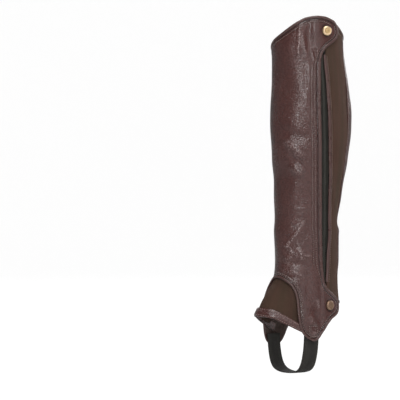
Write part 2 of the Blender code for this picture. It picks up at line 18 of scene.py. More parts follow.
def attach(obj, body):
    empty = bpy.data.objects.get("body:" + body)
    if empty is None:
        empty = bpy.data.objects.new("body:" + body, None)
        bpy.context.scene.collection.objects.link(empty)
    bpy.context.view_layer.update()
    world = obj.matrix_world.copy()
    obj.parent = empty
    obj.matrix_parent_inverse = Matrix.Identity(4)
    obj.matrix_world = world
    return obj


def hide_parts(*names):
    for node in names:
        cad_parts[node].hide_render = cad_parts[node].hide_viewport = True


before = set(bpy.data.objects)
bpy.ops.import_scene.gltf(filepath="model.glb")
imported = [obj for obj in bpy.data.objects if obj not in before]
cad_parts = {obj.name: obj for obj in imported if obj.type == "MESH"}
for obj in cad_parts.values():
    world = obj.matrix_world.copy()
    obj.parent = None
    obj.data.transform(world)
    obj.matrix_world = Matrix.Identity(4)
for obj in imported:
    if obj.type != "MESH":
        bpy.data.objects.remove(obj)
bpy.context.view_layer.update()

ORIGIN_HEIGHT = 348.0
DEGREE_WIDTH = 0.85  # mm of chart for one degree
GAP = 0.3  # between the two panels at the front seam
BACK_SEAM = 137.0
# Inner and outer face of each layer, in mm from the form.
LEATHER, ELASTIC, PATCH, BAND = (1.6, 3.0), (1.6, 2.9), (3.2, 4.25), (1.75, 2.9)
TAPE, FACING, GUSSET, STRAP = (-0.05, 0.9), (-0.05, 0.9), (-0.1, 1.0), (0.1, 1.2)
# The bound edge: half width, the same along the zip, half height, and its centre from the form.
CORD_WIDTH, WIDE_CORD, CORD_RISE, CORD_SEAT = 1.75, 2.4, 1.3, 2.7
# What lies inside a traced edge, in mm from it: the leather's own end, the grooves beside the
# binding, the rows of stitches, and a line of painted highlight along the arch.
EDGE_INSET, EDGE_GROOVE, ZIP_GROOVE, BACK_GROOVE = 1.8, 4.3, 5.6, 3.9
EDGE_ROW, ZIP_ROW, SECOND_ZIP_ROW, RIM_ROW, HEM_ROW = 5.4, 9.2, 12.9, 7.4, 5.3
ARCH_ROW, ARCH_PAINTED_HIGHLIGHT, STRETCH_ROW, PATCH_ROW, SECOND_PATCH_ROW = 8.4, 6.9, 6.4, 1.8, 11.0
SEAM_ROW, BACK_SEAM_ROW = 2.6, 3.4  # mm and degrees from the front and the back seam
# How deep and wide the leather sinks, in mm, and how dark and wide the painted shade is there.
SUNK_ROW, SUNK_GROOVE = (0.45, 0.9, 0.6, 1.1), (0.65, 0.95, 1.0, 1.05)
SUNK_SEAM = (0.6, 0.7, 0.6, 0.6)
STITCH_PITCH, STITCH_LENGTH, THREAD_RADIUS, THREAD_SIDES = 3.1, 2.6, 0.36, 5
# One stitch: how far along it, its thickness, how far it stands out; the first two are shares.
STITCH = ((-0.5, 0.35, -0.3), (-0.3, 1.0, 0.06), (0.3, 1.0, 0.06), (0.5, 0.35, -0.3))
ZIP_TOP, ZIP_FOOT = 441.0, 133.0
TONGUE_DROP = 8.0  # the stretch panel's tongue ends so far below the rim
FACING_DEPTHS = (27.0, 2.2)  # mm below the rim
TAPE_BEYOND = 6.2  # mm of tape hidden on each side of the opening
COIL_PITCH = 1.35
# One bar of the coil: how far along it, how high, half size.
COIL_BAR = (
    (-2.3, 0.15, 0.25), (-1.7, 0.4, 0.5), (-0.9, 0.55, 0.55), (1.0, 0.6, 0.62), (1.35, 0.5, 0.3),
)  # fmt: skip

# fmt: off
# Leg form: height, front, back and side half sizes in mm.
FORM = np.array((
    (0, 102, 41.5, 34.5), (50, 100, 41.5, 36), (84, 88, 40, 35), (93, 84.2, 39.5, 34.5),
    (106, 77.2, 38.2, 34), (120, 67.4, 37, 33.5), (134, 57.2, 36.7, 33), (142, 53, 36.8, 32.8),
    (162, 50.8, 38.4, 32.5), (200, 52.2, 38.6, 32.5), (217, 50.9, 35.9, 33),
    (244, 51.8, 41.5, 34.5), (272, 51.2, 47.2, 37), (300, 53.9, 53.5, 39.5), (348, 56.8, 60.2, 42),
    (393, 54, 55.5, 41.5), (422, 53.6, 50.6, 40.2), (438, 54.6, 47.7, 39.2),
    (452, 56.2, 45.7, 38.4), (470, 53, 45.2, 37.8), (510, 49.5, 46, 37),
), float)
# Rim: phi, height. It runs once round, from the inner side over the front.
RIM = np.array((
    (-90, 449.5), (-60, 449.5), (-37, 451.5), (-20, 457.5), (0, 466), (16, 476), (32, 486),
    (45, 491.5), (65, 494), (80, 493.5), (95, 490.5), (110, 486), (122, 481.5), (132, 477),
    (145, 471.5), (160, 466.5), (180, 461), (210, 454.5), (240, 450), (270, 449.5),
), float)
# Front seam of the inner side: height, phi.
FRONT_SEAM = np.array((
    (40, -39.5), (70, -36), (100, -34), (150, -30), (200, -25.5), (245, -26), (390, -33),
    (470, -33),
), float)
# Zip opening: height, phi of its front edge, phi of its rear edge.
ZIP = np.array((
    (100, 86.6, 87.6), (126, 86.6, 88.4), (148, 83.2, 90.9), (173, 81.3, 93.6), (203, 79.5, 97),
    (245, 77.4, 95), (285, 75.4, 92), (327, 73.2, 87.8), (360, 72, 85.2), (400, 71.6, 82.6),
    (412, 71.8, 81.2), (436, 72.8, 78.2), (470, 72.6, 76.4),
), float)
# Outer edges, bound with cord, in chart points (phi, height).
TOP_TAB = (
    (104, 488), (109.5, 484.5), (113.5, 479), (114.5, 472), (111.5, 465.8), (104.5, 460.6),
    (95, 455.8), (86.5, 452.2), (79.4, 447.2), (75.2, 441.4), (73.2, 433.5),
)
BOTTOM_FRONT = (
    (84.4, 140), (86.4, 132), (89.6, 126), (94.5, 122.4), (101, 119.6), (112, 114.5), (120, 110.3),
    (126.5, 105.5), (129, 100), (127.5, 94.3), (122, 89.2), (113, 85.5), (104, 82.8), (96, 78.5),
    (89, 74), (82, 67.5), (75.5, 61.5), (68, 56), (59, 53), (50, 55.5), (42, 61), (37.2, 70),
    (34.2, 84), (32.8, 100), (31, 112), (27.2, 122), (21.2, 129), (13.5, 134), (7, 136.8), (0, 138),
    (-6, 136.5), (-11, 132), (-15, 123), (-18.5, 109), (-22.5, 96), (-26, 83), (-28.5, 70),
    (-31, 57.5), (-34, 49.5), (-39, 44.5),
)
BOTTOM_BACK = (
    (-39, 44.5), (-46, 42.5), (-53, 44), (-60, 49), (-66.5, 57), (-72.5, 65.5), (-80, 72.5),
    (-90, 79), (-103, 86.5), (-116, 92.5), (-135, 98.5), (-160, 103), (-180, 104), (-200, 103.5),
    (-212, 102.6), (-222.8, 101.2),
)
# Raw edges, hidden below other pieces.
ELASTIC_BOTTOM = (
    (136.6, 101.2), (127, 96.4), (115, 91.8), (102, 90.5), (88, 91.5), (84.5, 95), (84, 108),
    (85.5, 118), (89, 124.5),
)
ELASTIC_TOP = (
    (83.2, 446), (84, 458), (83, 464.5), (80, 467), (74.5, 467.6), (71.5, 470), (71, 476),
)
GUSSET_EDGE = (
    (0, 92), (8, 91), (19, 85), (28, 77.5), (38, 73), (42, 75), (44.5, 86), (44.5, 103), (42, 117),
    (35, 130), (25, 138.5), (12, 145), (0, 147.5), (-10, 145.5), (-19, 138), (-25, 125),
    (-29.5, 109), (-33, 94), (-35, 81), (-34, 74.5), (-29, 76.5), (-19, 84.5), (-8, 91),
)
# Band at the gusset's foot: phi, lower height, upper height.
BAND_EDGES = np.array((
    (-45, 62, 73), (-33.5, 68.5, 79.5), (-21.5, 77.5, 89), (-12, 84.5, 95.5), (0, 87, 98),
    (12, 85, 96), (21.5, 78, 89), (33.5, 69.5, 79.8), (48, 61.5, 71.5),
), float)
# Grip patch on the inner calf.
PATCH_EDGE = (
    (-104, 406), (-90, 404), (-77, 397), (-67, 385), (-62.5, 370), (-62.5, 332), (-60, 295),
    (-58.5, 261), (-62, 228), (-72, 197), (-84, 181), (-103, 175), (-122, 181), (-134, 197),
    (-144, 228), (-148, 261), (-147, 295), (-145.5, 332), (-145.5, 370), (-141, 385), (-131, 397),
    (-118, 404),
)
# Strap under the sole: half width of the foot there (signed), height.
STRAP_LINE = np.array((
    (35.3, 74), (35.7, 62), (35.9, 50), (35.6, 40), (34.6, 30), (32.2, 21.5), (28.2, 15.5),
    (21.6, 11.8), (12, 9.8), (0, 9.3), (-12, 9.8), (-21.6, 11.8), (-28.2, 15.5), (-32.2, 21.5),
    (-34.6, 30), (-35.6, 40), (-35.9, 50), (-35.7, 60),
), float)
# fmt: on
STRAP_LEAVES = 38.0  # above this height the strap lies on the form
STRAP_CENTRES = (-23.0, -38.0)  # y at the outer and at the inner end
STRAP_HALF = 11.5

# Folds of the worn leather: height in mm (a trough is negative), half width, the strength of the
# painted highlight on the crest, from 0 to 1 (a row of height 0 is a patch of it alone), and its
# line.
# fmt: off
FOLDS = (
    (1.3, 2.2, 0.7, ((36.5, 484), (35.5, 476), (34.8, 464), (34.3, 452), (34, 436))),
    (1.0, 1.9, 0.4, ((39, 474), (40, 465), (41.8, 456), (44.5, 446), (46.5, 436))),
    (-2.0, 4.8, 0, ((51, 490), (50.5, 478), (50, 466), (50.5, 455), (52, 444))),
    (0.9, 4.4, 0, ((61, 488), (60, 474), (59.5, 460), (60.5, 448))),
    (1.0, 1.7, 0.4, ((53, 452), (54.5, 446), (57, 440), (59.5, 430))),
    (0.8, 1.6, 0.4, ((64, 452), (64.3, 444), (65.5, 436), (66, 426))),
    (-0.7, 2.2, 0, ((60, 452), (61, 443), (62, 434))),
    (-0.6, 2.6, 0, ((44.5, 436), (44.5, 414), (44.5, 396), (43, 382))),
    (0.6, 4.4, 0, ((49, 396), (48, 380), (47, 366))),
    (0, 8.0, 0.08, ((35, 470), (33, 440), (31, 410), (31, 380), (32, 352))),
    (0.6, 8.0, 0, ((14, 372), (28, 368), (44, 364))),
    (-1.2, 6.0, 0, ((12, 341), (26, 335), (40, 329), (52, 328))),
    (2.5, 5.6, 0.12, ((15, 328), (24, 319), (34, 307), (43, 298))),
    (0, 8.0, 0.26, ((17, 327), (25, 318), (33, 309), (38, 303))),
    (-0.9, 4.0, 0, ((20, 306), (30, 300), (40, 296))),
    (2.5, 5.4, 0.1, ((23, 293), (30, 285), (38, 280), (44, 279))),
    (0, 7.0, 0.23, ((24, 294), (31, 286), (38, 282))),
    (0.7, 4.6, 0, ((28, 272), (26, 260), (25, 248), (26, 236))),
    (-0.7, 6.0, 0, ((34, 262), (38, 250), (46, 242))),
    (0.7, 2.6, 0.1, ((22, 235), (32, 232), (44, 233))),
    (0.5, 2.2, 0.1, ((26, 227), (34, 225), (43, 227))),
    (1.6, 2.2, 0.9, ((42, 217.5), (35.5, 208), (30.5, 202), (26, 196), (21, 190), (16.5, 185),
                     (11, 180.5))),
    (-0.7, 5.0, 0, ((48, 204), (40, 192), (33, 184))),
    (0.9, 2.0, 0.5, ((13, 185), (18, 179), (23, 171))),
    (1.4, 3.4, 0.5, ((31, 180), (35, 172), (39, 162))),
    (0.9, 1.6, 0.4, ((37, 171), (45, 168.5), (57, 169))),
    (1.0, 2.6, 0.4, ((10, 169), (16, 165.5), (22, 164))),
    (0, 9.0, 0.23, ((13, 178), (25, 174), (40, 170))),
    (0, 9.0, 0.2, ((10, 158), (22, 155), (34, 151))),
    (-1.4, 3.8, 0, ((6, 157), (20, 158), (34, 157), (50, 154))),
    (1.5, 3.2, 0.5, ((9, 149.5), (17, 148), (26, 145.5), (34, 142.5), (41, 137))),
    (-0.5, 3.0, 0, ((40, 136), (46, 126), (49, 112))),
    (1.0, 2.6, 0.7, ((67, 112), (68, 104), (69.5, 97))),
    (0.9, 3.0, 0.3, ((50, 88), (56, 79), (64, 72))),
    (-0.7, 4.0, 0, ((60, 92), (68, 84), (76, 78))),
    (0, 8.0, 0.16, ((50, 68), (58, 64), (66, 70))),
    (0.8, 2.2, 0.2, ((53, 70), (58, 66), (63, 63))),
    # the inner side and the back
    (1.0, 3.4, 0.4, ((-36, 214), (-48, 203), (-60, 191), (-74, 185))),
    (-0.9, 5.0, 0, ((-34, 200), (-46, 190), (-60, 178), (-76, 172))),
    (0.8, 3.0, 0.3, ((-32, 180), (-42, 170), (-56, 163))),
    (0.6, 3.0, 0, ((-30, 158), (-44, 150), (-58, 150))),
    (-0.7, 4.0, 0, ((-28, 150), (-40, 142), (-54, 136), (-70, 138))),
    (-1.2, 4.6, 0, ((-128, 208), (-150, 212), (-176, 209), (-200, 213), (-218, 210))),
    (0.9, 4.0, 0.25, ((-140, 199), (-165, 203), (-190, 200), (-212, 203))),
    (-0.8, 4.2, 0, ((-132, 182), (-158, 188), (-184, 184), (-206, 188))),
    (0.6, 4.0, 0, ((-120, 172), (-142, 176), (-170, 172))),
    (-0.6, 5.0, 0, ((-168, 240), (-190, 236), (-214, 240))),
    (1.1, 2.8, 0.4, ((-36, 64), (-46, 66), (-56, 72), (-66, 82))),
    (-0.7, 4.0, 0, ((-40, 76), (-52, 80), (-64, 92))),
    (0.7, 4.0, 0, ((-34, 100), (-44, 108), (-50, 122))),
    (-0.5, 8.0, 0, ((-40, 360), (-52, 352), (-62, 355))),
    (0.6, 6.0, 0, ((-190, 400), (-200, 380), (-206, 350))),
    (-0.6, 6.0, 0, ((-176, 430), (-190, 420), (-210, 424))),
)
# fmt: on
# Slow unevenness of the whole skin: height, turns for three degrees, turns for one mm, shift.
WAVES = (
    (0.28, 0.031, 0.0061, 0.3),
    (0.22, -0.047, 0.0093, 2.1),
    (0.16, 0.083, 0.0141, 4.4),
    (0.12, 0.019, -0.0232, 1.2),
)
SNAPS = (("top", 85.0, 474.0), ("bottom", 97.5, 101.0))
# Profiles of a snap's cap and back: radius, height. The cap's ring starts at PLATE_RADIUS.
SNAP_CAP = ((0, 2.3), (1.0, 2.25), (1.6, 2.05), (3.2, 2.05), (4.4, 2.1), (4.8, 2.3), (5.3, 2.35),
            (6.1, 2.1), (6.8, 1.6), (7.3, 1.0), (7.5, 0.4), (7.3, -0.4), (0, -0.4))  # fmt: skip
SNAP_BACK = ((0, -0.15), (2.1, -0.15), (2.5, -0.3), (3.0, -0.35), (3.4, -0.1), (4.6, 0.0),
             (5.6, 0.25), (6.0, 0.6), (5.9, 1.1), (0, 1.1))  # fmt: skip
PLATE_RADIUS = 4.9
CAP_SIZE = 0.89
CAP_TILT = (11.0, 0.0)  # degrees, the top cap lies on the pulled, flatter part of its tab
# Boxes of stitches that hold the strap's ends behind the flaps: two corners each.
OUTER_BOX = ((49.5, 60.0), (65.5, 73.5))
INNER_BOX = ((-50.5, 54.0), (-37.0, 66.5))
# Soft boxes: name, azimuth, elevation, distance, size, watts.
LIGHTS = (
    ("high_box", 66.0, 58.0, 2.4, (1.4, 1.4), 40.0),
    ("key_box", 56.0, 13.0, 1.9, (0.16, 0.50), 8.2),
    ("fill_box", 94.0, 14.0, 2.4, (0.9, 1.8), 8.0),
    ("back_box", 190.0, 25.0, 2.4, (1.2, 1.2), 22.0),
    ("inner_box", 240.0, 36.0, 2.4, (0.9, 0.9), 18.0),
)

# ---------------------------------------------------------------- the form


def smooth(table, column, at):
    """A monotone smooth line through the table's points, read at each value of `at`."""
    xs, ys = table[:, 0], table[:, column]
    run, rise = np.diff(xs), np.diff(ys) / np.diff(xs)
    slope = np.zeros(len(xs))
    slope[0], slope[-1] = rise[0], rise[-1]
    same = rise[:-1] * rise[1:] > 0
    before, after = 2 * run[1:] + run[:-1], run[1:] + 2 * run[:-1]
    with np.errstate(divide="ignore", invalid="ignore"):
        mean = (before + after) / (before / rise[:-1] + after / rise[1:])
    slope[1:-1] = np.where(same, mean, 0.0)
    at = np.clip(np.asarray(at, float), xs[0], xs[-1])
    cell = np.clip(np.searchsorted(xs, at) - 1, 0, len(run) - 1)
    t = (at - xs[cell]) / run[cell]
    left, right = ys[cell], ys[cell + 1]
    return (
        left * (1 + 2 * t) * (1 - t) ** 2
        + slope[cell] * run[cell] * t * (1 - t) ** 2
        + right * t**2 * (3 - 2 * t)
        - slope[cell + 1] * run[cell] * t**2 * (1 - t)
    )


def step(value, low, high):
    """0 below low, 1 above high, and a soft rise between them."""
    t = np.clip((np.asarray(value, float) - low) / (high - low), 0.0, 1.0)
    return t * t * (3 - 2 * t)


def bell(distance, width):
    return np.exp(-((distance / width) ** 2))


def unit(vectors):
    return vectors / np.linalg.norm(vectors, axis=-1, keepdims=True)


def rim(phi):
    return smooth(RIM, 1, (np.asarray(phi, float) + 90.0) % 360.0 - 90.0)


def front_seam(h):
    return smooth(FRONT_SEAM, 1, h)


def on_form(phi, h):
    """Points of the leg form, in mm."""
    phi, h = np.broadcast_arrays(np.asarray(phi, float), np.asarray(h, float))
    angle = np.radians(phi)
    fore = np.where(np.cos(angle) > 0, smooth(FORM, 1, h), smooth(FORM, 2, h))
    radius = 1 / np.hypot(np.cos(angle) / fore, np.sin(angle) / smooth(FORM, 3, h))
    return np.stack([radius * np.sin(angle), -radius * np.cos(angle), h - ORIGIN_HEIGHT], -1)


def ways(phi, h):
    """How the form runs there: the change for one degree, and for one mm of height."""
    phi, h = np.asarray(phi, float), np.asarray(h, float)
    round_it = on_form(phi + 0.5, h) - on_form(phi - 0.5, h)
    return round_it, (on_form(phi, h + 1.0) - on_form(phi, h - 1.0)) / 2.0


def normals(phi, h):
    return unit(np.cross(*ways(phi, h)))


def mm_to_degrees(phi, h, distance):
    return distance / np.linalg.norm(ways(phi, h)[0], axis=-1)


def flat(chart):
    """Chart points in mm both ways."""
    return np.asarray(chart, float) * (DEGREE_WIDTH, 1.0)


# ---------------------------------------------------------------- lines in the chart


def lengths(points):
    """How far along the line each of its points is."""
    return np.concatenate([[0], np.cumsum(np.linalg.norm(np.diff(points, axis=0), axis=1))])


def resampled(line, along, count):
    at = np.linspace(0, along[-1], count)
    return np.stack([np.interp(at, along, column) for column in line.T], 1)


def spline(points, spacing):
    """A smooth line through chart points, with a point about every `spacing` mm."""
    points = flat(points)
    ends = np.vstack([2 * points[0] - points[1], points, 2 * points[-1] - points[-2]])
    t, line = np.linspace(0, 1, 12, endpoint=False)[:, None], []
    for a, b, c, d in zip(ends, ends[1:], ends[2:], ends[3:]):
        bend = 2 * a - 5 * b + 4 * c - d + t * (3 * (b - c) + d - a)
        line.append(b + 0.5 * t * (c - a + t * bend))
    line = np.vstack(line + [points[-1:]])
    along = lengths(line)
    return resampled(line, along, max(2, round(along[-1] / spacing) + 1)) / (DEGREE_WIDTH, 1.0)


def respaced(line, spacing):
    """The same chart line with a point about every `spacing` mm."""
    along = lengths(on_form(*line.T))
    return resampled(line, along, max(2, round(along[-1] / spacing) + 1))


def shifted(line, distance):
    """The line moved to its right hand, seen from outside, by so many mm over the form."""
    def dot(a, b):
        return np.sum(a * b, 1)

    round_it, up_it = ways(*line.T)
    ahead = unit(np.gradient(on_form(*line.T), axis=0))
    right = np.cross(ahead, unit(np.cross(round_it, up_it)))
    rr, ru, uu = dot(round_it, round_it), dot(round_it, up_it), dot(up_it, up_it)
    pr, pu = dot(right, round_it), dot(right, up_it)
    det = rr * uu - ru * ru
    return line + distance * np.stack([(pr * uu - pu * ru) / det, (pu * rr - pr * ru) / det], 1)


def both_sides(line, *distances):
    return [shifted(line, way * distance) for distance in distances for way in (1, -1)]


def by_zip(chart):
    """1 along the zip opening, 0 at its ends and elsewhere: the binding is wider there."""
    phi, h = chart.T
    return step(phi, 50, 60) * step(h, 136, 160) * (1 - step(h, 425, 446))


def inwards(line, distance, at_zip):
    """The line moved in from the bound edge, by another distance along the zip."""
    wide = by_zip(line)[:, None]
    return shifted(line, distance) * (1 - wide) + shifted(line, at_zip) * wide


def to_seam(line, side, gap=GAP):
    """The line's part on one side of the front seam, ending half a gap from it."""
    edge = front_seam(line[:, 1])
    sign = side * (line[:, 0] - edge) - mm_to_degrees(edge, line[:, 1], gap / 2)
    kept = []
    for i, point in enumerate(line):
        if i and sign[i] * sign[i - 1] < 0:
            t = sign[i - 1] / (sign[i - 1] - sign[i])
            kept.append(line[i - 1] + t * (point - line[i - 1]))
        if sign[i] > 0:
            kept.append(point)
    return np.array(kept)


def part(line, phi=(-400, 400), h=(0, 600)):
    """The line's points inside these limits."""
    ok = (line[:, 0] > phi[0]) & (line[:, 0] < phi[1]) & (line[:, 1] > h[0]) & (line[:, 1] < h[1])
    return line[ok]


def rim_curve(first, last, count=120):
    phi = np.linspace(first, last, count)
    return np.stack([phi, rim(phi)], 1)


def zip_curve(column, low, high):
    h = np.arange(low, high, 4.0)
    return np.stack([smooth(ZIP, column, h), h], 1)


def by_seam(h, distance):
    """A line beside the front seam, so many mm to its outer side."""
    edge = front_seam(h)
    return np.stack([edge + mm_to_degrees(edge, h, distance), h], 1)


def upright(phi, low, high):
    h = np.arange(low, high, 2.5)
    return np.stack([np.full(len(h), phi), h], 1)


def sewn_box(corners):
    (left, low), (right, high) = corners
    line = np.array(((left, high), (left, low), (right, low), (right, high), (left, high)))
    return respaced(line, 1.0)


# ---------------------------------------------------------------- the worn skin


def folds_at(chart, values):
    """The folds' sum at each chart point; values gives a fold's size and width from its row."""
    points = flat(chart)
    total = np.zeros(len(points))
    for row in FOLDS:
        size, width = values(row)
        if not size:
            continue
        line = flat(row[3])
        start = lengths(line)
        for turn in (0.0, 360.0):
            here = points + (turn * DEGREE_WIDTH, 0.0)
            best, along = np.full(len(points), 1e9), np.zeros(len(points))
            for a, b, run, so_far in zip(line, line[1:], np.diff(start), start):
                t = np.clip((here - a) @ (b - a) / run**2, 0, 1)
                far = np.linalg.norm(here - a - t[:, None] * (b - a), axis=1)
                along = np.where(far < best, (so_far + t * run) / start[-1], along)
                best = np.minimum(best, far)
            taper = np.sqrt(np.clip(4 * along * (1 - along), 0, 1)) ** 1.2
            total += size * taper * bell(best, width)
    return total


def skin(chart, offset):
    """Points of the worn skin in mm: the form, an offset, the folds and the slow unevenness."""
    phi, h = np.asarray(chart, float).T
    out = np.broadcast_to(offset, len(phi)) + folds_at(chart, lambda row: row[:2])
    for height, per_three_degrees, per_mm, shift in WAVES:
        turns = phi * per_three_degrees / 3 + h * per_mm
        out = out + height * np.sin(turns * 2 * math.pi + shift)
    return on_form(phi, h) + normals(phi, h) * out[:, None]


def snap_distances(chart):
    return [np.linalg.norm(flat(chart) - flat(at), axis=1) for _, *at in SNAPS]


def no_lift(chart):
    return np.zeros(len(chart))


def flap_lift(chart):
    """The flaps stand off where the strap's ends are behind them."""
    phi, h = np.abs(chart[:, 0]), chart[:, 1]
    return 1.6 * (1 - step(h, 84, 102)) * (1 - step(phi, 52, 66))


def front_lift(chart):
    """The tabs lie over the zip's ends, and the leather is pressed down round each snap cap."""
    phi, h = chart.T
    top = 2.0 * step(phi, 55, 68) * step(h, 438, 452)
    bottom = 1.9 * step(phi, 74, 83) * (1 - step(h, 124, 138))
    dents = sum(0.8 * bell(far - 7.0, 2.4) for far in snap_distances(chart))
    return np.maximum(np.maximum(top, bottom), flap_lift(chart)) - dents


# ---------------------------------------------------------------- meshes


def corners_of(points, faces):
    """The three corners of each triangle, with the faces cut as fans."""
    tris = np.array([(f[0], f[i], f[i + 1]) for f in faces for i in range(1, len(f) - 1)])
    return (points[tris[:, k]] for k in range(3))


def smooth_mesh(name, points, faces, look):
    mesh = bpy.data.meshes.new(name)
    mesh.from_pydata(points.tolist(), [], [tuple(map(int, face)) for face in faces])
    mesh.polygons.foreach_set("use_smooth", [True] * len(mesh.polygons))
    mesh.materials.append(look)
    return mesh


def linked(name, data):
    obj = bpy.data.objects.new(name, data)
    bpy.context.scene.collection.objects.link(obj)
    return obj


def add_piece(name, points, faces, look, slot, replaced=(), chart=None, closed=True):
    points = np.asarray(points, float)
    if closed:
        a, b, c = corners_of(points, faces)
        if np.sum(a * np.cross(b, c)) < 0:
            faces = [tuple(reversed(face)) for face in faces]
    mesh = smooth_mesh(name, points / 1000.0, faces, look)
    mesh.set_sharp_from_angle(angle=math.radians(48))
    if chart is not None:
        corners = np.empty(len(mesh.loops), np.int32)
        mesh.loops.foreach_get("vertex_index", corners)
        layer = mesh.uv_layers.new(name="chart")
        layer.data.foreach_set("uv", (flat(chart)[corners] / 1000.0).astype(np.float32).ravel())
    obj = linked(name, mesh)
    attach(obj, "root")
    if replaced:
        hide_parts(*replaced)
    return obj


def paint(obj, kind, values):
    """Writes one number for each point; values of the outer face alone go on the inner one too."""
    layer = obj.data.attributes.get(kind) or obj.data.attributes.new(kind, "FLOAT", "POINT")
    layer.data.foreach_set("value", np.resize(values, len(layer.data)).astype(np.float32))


def declare(chart, faces):
    """Takes the corners of the cut's triangles on the smooth form, and does nothing more with them.
    """
    a, b, c = corners_of(on_form(*chart.T) / 1000.0, faces)


def inside(points, loop):
    x, y = points[:, 0:1], points[:, 1:2]
    x0, y0 = loop[:, 0], loop[:, 1]
    x1, y1 = np.roll(x0, -1), np.roll(y0, -1)
    with np.errstate(divide="ignore", invalid="ignore"):
        at = x0 + (y - y0) * (x1 - x0) / (y1 - y0)
    return (((y0 > y) != (y1 > y)) & (x < at)).sum(1) % 2 == 1


def distance_to(points, lines):
    """Distance in the flat chart from each point to the nearest of the lines' points."""
    seeds = np.vstack(lines)
    tree = KDTree(len(seeds))
    for i, (x, y) in enumerate(seeds):
        tree.insert((x, y, 0.0), i)
    tree.balance()
    return np.array([tree.find((x, y, 0.0))[2] for x, y in points])


def finely(line):
    """A flat line with a point at least every half millimetre."""
    parts = [line[:1]]
    for a, b in zip(line, line[1:]):
        count = max(1, math.ceil(np.linalg.norm(b - a) / 0.5))
        parts.append(a + (b - a) * (np.arange(1, count + 1) / count)[:, None])
    return np.vstack(parts)


def cut_cloth(outline, lines, pitch):
    """Triangulates the chart inside an outline, through the given open lines."""
    loop = flat(outline)
    edge = finely(np.vstack([loop, loop[:1]]))
    kept = []
    for line in map(flat, lines):
        kept.append((line, inside(line, loop) & (distance_to(line, [edge]) > 0.5)))
    low, high = loop.min(0), loop.max(0)
    xs, ys = (np.arange(low[k], high[k], pitch) for k in (0, 1))
    lattice = np.stack(np.meshgrid(xs, ys), -1)
    lattice[1::2, :, 0] += pitch / 2
    lattice = lattice.reshape(-1, 2)
    lattice = lattice[inside(lattice, loop)]
    seeds = [edge] + [line[ok] for line, ok in kept if ok.any()]
    lattice = lattice[distance_to(lattice, seeds) > 0.55 * pitch]
    points, edges, first = [loop], [], len(loop)
    for line, ok in kept:
        number = np.cumsum(ok) - 1 + first
        pairs = np.flatnonzero(ok[:-1] & ok[1:])
        edges += [(int(number[i]), int(number[i + 1])) for i in pairs]
        points.append(line[ok])
        first += int(ok.sum())
    points = [Vector(p) for p in np.vstack(points + [lattice])]
    made = delaunay_2d_cdt(points, edges, [list(range(len(loop)))], 1, 1e-4)
    return np.array([tuple(p) for p in made[0]]) / (DEGREE_WIDTH, 1.0), [tuple(f) for f in made[2]]


def closed_sheet(outer, inner, faces):
    """One solid from the points of two faces of a sheet: the rim's walls join them."""
    count = len(outer)
    ends = {(a, b) for face in faces for a, b in zip(face, face[1:] + face[:1])}
    rims = [(a, b) for a, b in ends if (b, a) not in ends]
    back = [tuple(i + count for i in reversed(face)) for face in faces]
    return np.vstack([outer, inner]), faces + back + [(b, a, a + count, b + count) for a, b in rims]


class Cloth:
    """One cut panel: its outline, its rows, grooves and seams, and the skin that they give."""

    def __init__(self, outline, layer, lift, rows=(), raw=(), pitch=2.3, grooves=(), painted_highlight_lines=()):
        self.layer, self.lift, self.rows = layer, lift, [respaced(line, 2.4) for line in rows]
        sunk = [[finely(flat(line)) for line in self.rows]]
        for lines in (grooves, raw, painted_highlight_lines):
            sunk.append([finely(flat(respaced(line, 1.0))) for line in lines])
        self.painted_highlight_lines = sunk.pop()
        self.sunk = [pair for pair in zip(sunk, (SUNK_ROW, SUNK_GROOVE, SUNK_SEAM)) if pair[0]]
        painted_highlight_lines, grooves = ([respaced(line, 2.4) for line in lines] for lines in (painted_highlight_lines, grooves))
        lines = self.rows + painted_highlight_lines
        for line in self.rows + grooves:
            lines += both_sides(line, 0.95)
        lines += grooves
        for _, width, _, points in FOLDS:
            if width < 3.5 and inside(flat(points), flat(outline)).all():
                crease = respaced(np.array(points, float), 2.0)
                lines += [crease] + [shifted(crease, width * k) for k in (-1.3, -0.55, 0.55, 1.3)]
        for line in raw:
            lines += both_sides(respaced(line, 2.2), 0.8, 2.0)
        self.chart, self.faces = cut_cloth(outline, lines, pitch)

    def outer(self, chart):
        out = self.layer[1] + self.lift(chart)
        for lines, (deep, wide, _, _) in self.sunk:
            near = distance_to(flat(chart), lines)
            out = out - deep * bell(near, wide) + 0.16 * bell(near - 2.0, 1.0)
        return out

    def painted_shade(self, chart):
        """Painted shade, from 0 to 1: darker leather where it is sunk, and in a ring round the
        snaps.
        """
        dark = np.zeros(len(chart))
        for lines, (_, _, shade, wide) in self.sunk:
            dark = np.maximum(dark, shade * bell(distance_to(flat(chart), lines), wide))
        for far in snap_distances(chart):
            dark = np.maximum(dark, 0.9 * bell(far - 7.6, 1.5))
        return dark

    def piece(self, name, look, slot, replaced):
        chart = self.chart
        outer, inner = self.outer(chart), self.layer[0] + self.lift(chart)
        made = closed_sheet(skin(chart, outer), skin(chart, inner), self.faces)
        obj = add_piece(name, *made, look, slot, [replaced], np.vstack([chart, chart]))
        # Painted highlight: lighter colour on the crests of the folds and along the highlight
        # lines.
        painted_highlight = folds_at(chart, lambda row: (row[2], 0.65 * row[1]))
        if self.painted_highlight_lines:
            painted_highlight = np.maximum(painted_highlight, 0.5 * bell(distance_to(flat(chart), self.painted_highlight_lines), 0.9))
        paint(obj, "painted_shade", self.painted_shade(chart))
        paint(obj, "painted_highlight", painted_highlight)
        paint(obj, "flesh", np.repeat((0.0, 1.0), len(chart)))
        declare(chart, self.faces)
        return obj


def grid(rows):
    across, along = len(rows[0]), len(rows)
    faces = []
    for j in range(along - 1):
        for i in range(across - 1):
            a = j * across + i
            faces.append((a, a + 1, a + across + 1, a + across))
    return np.vstack(rows), faces


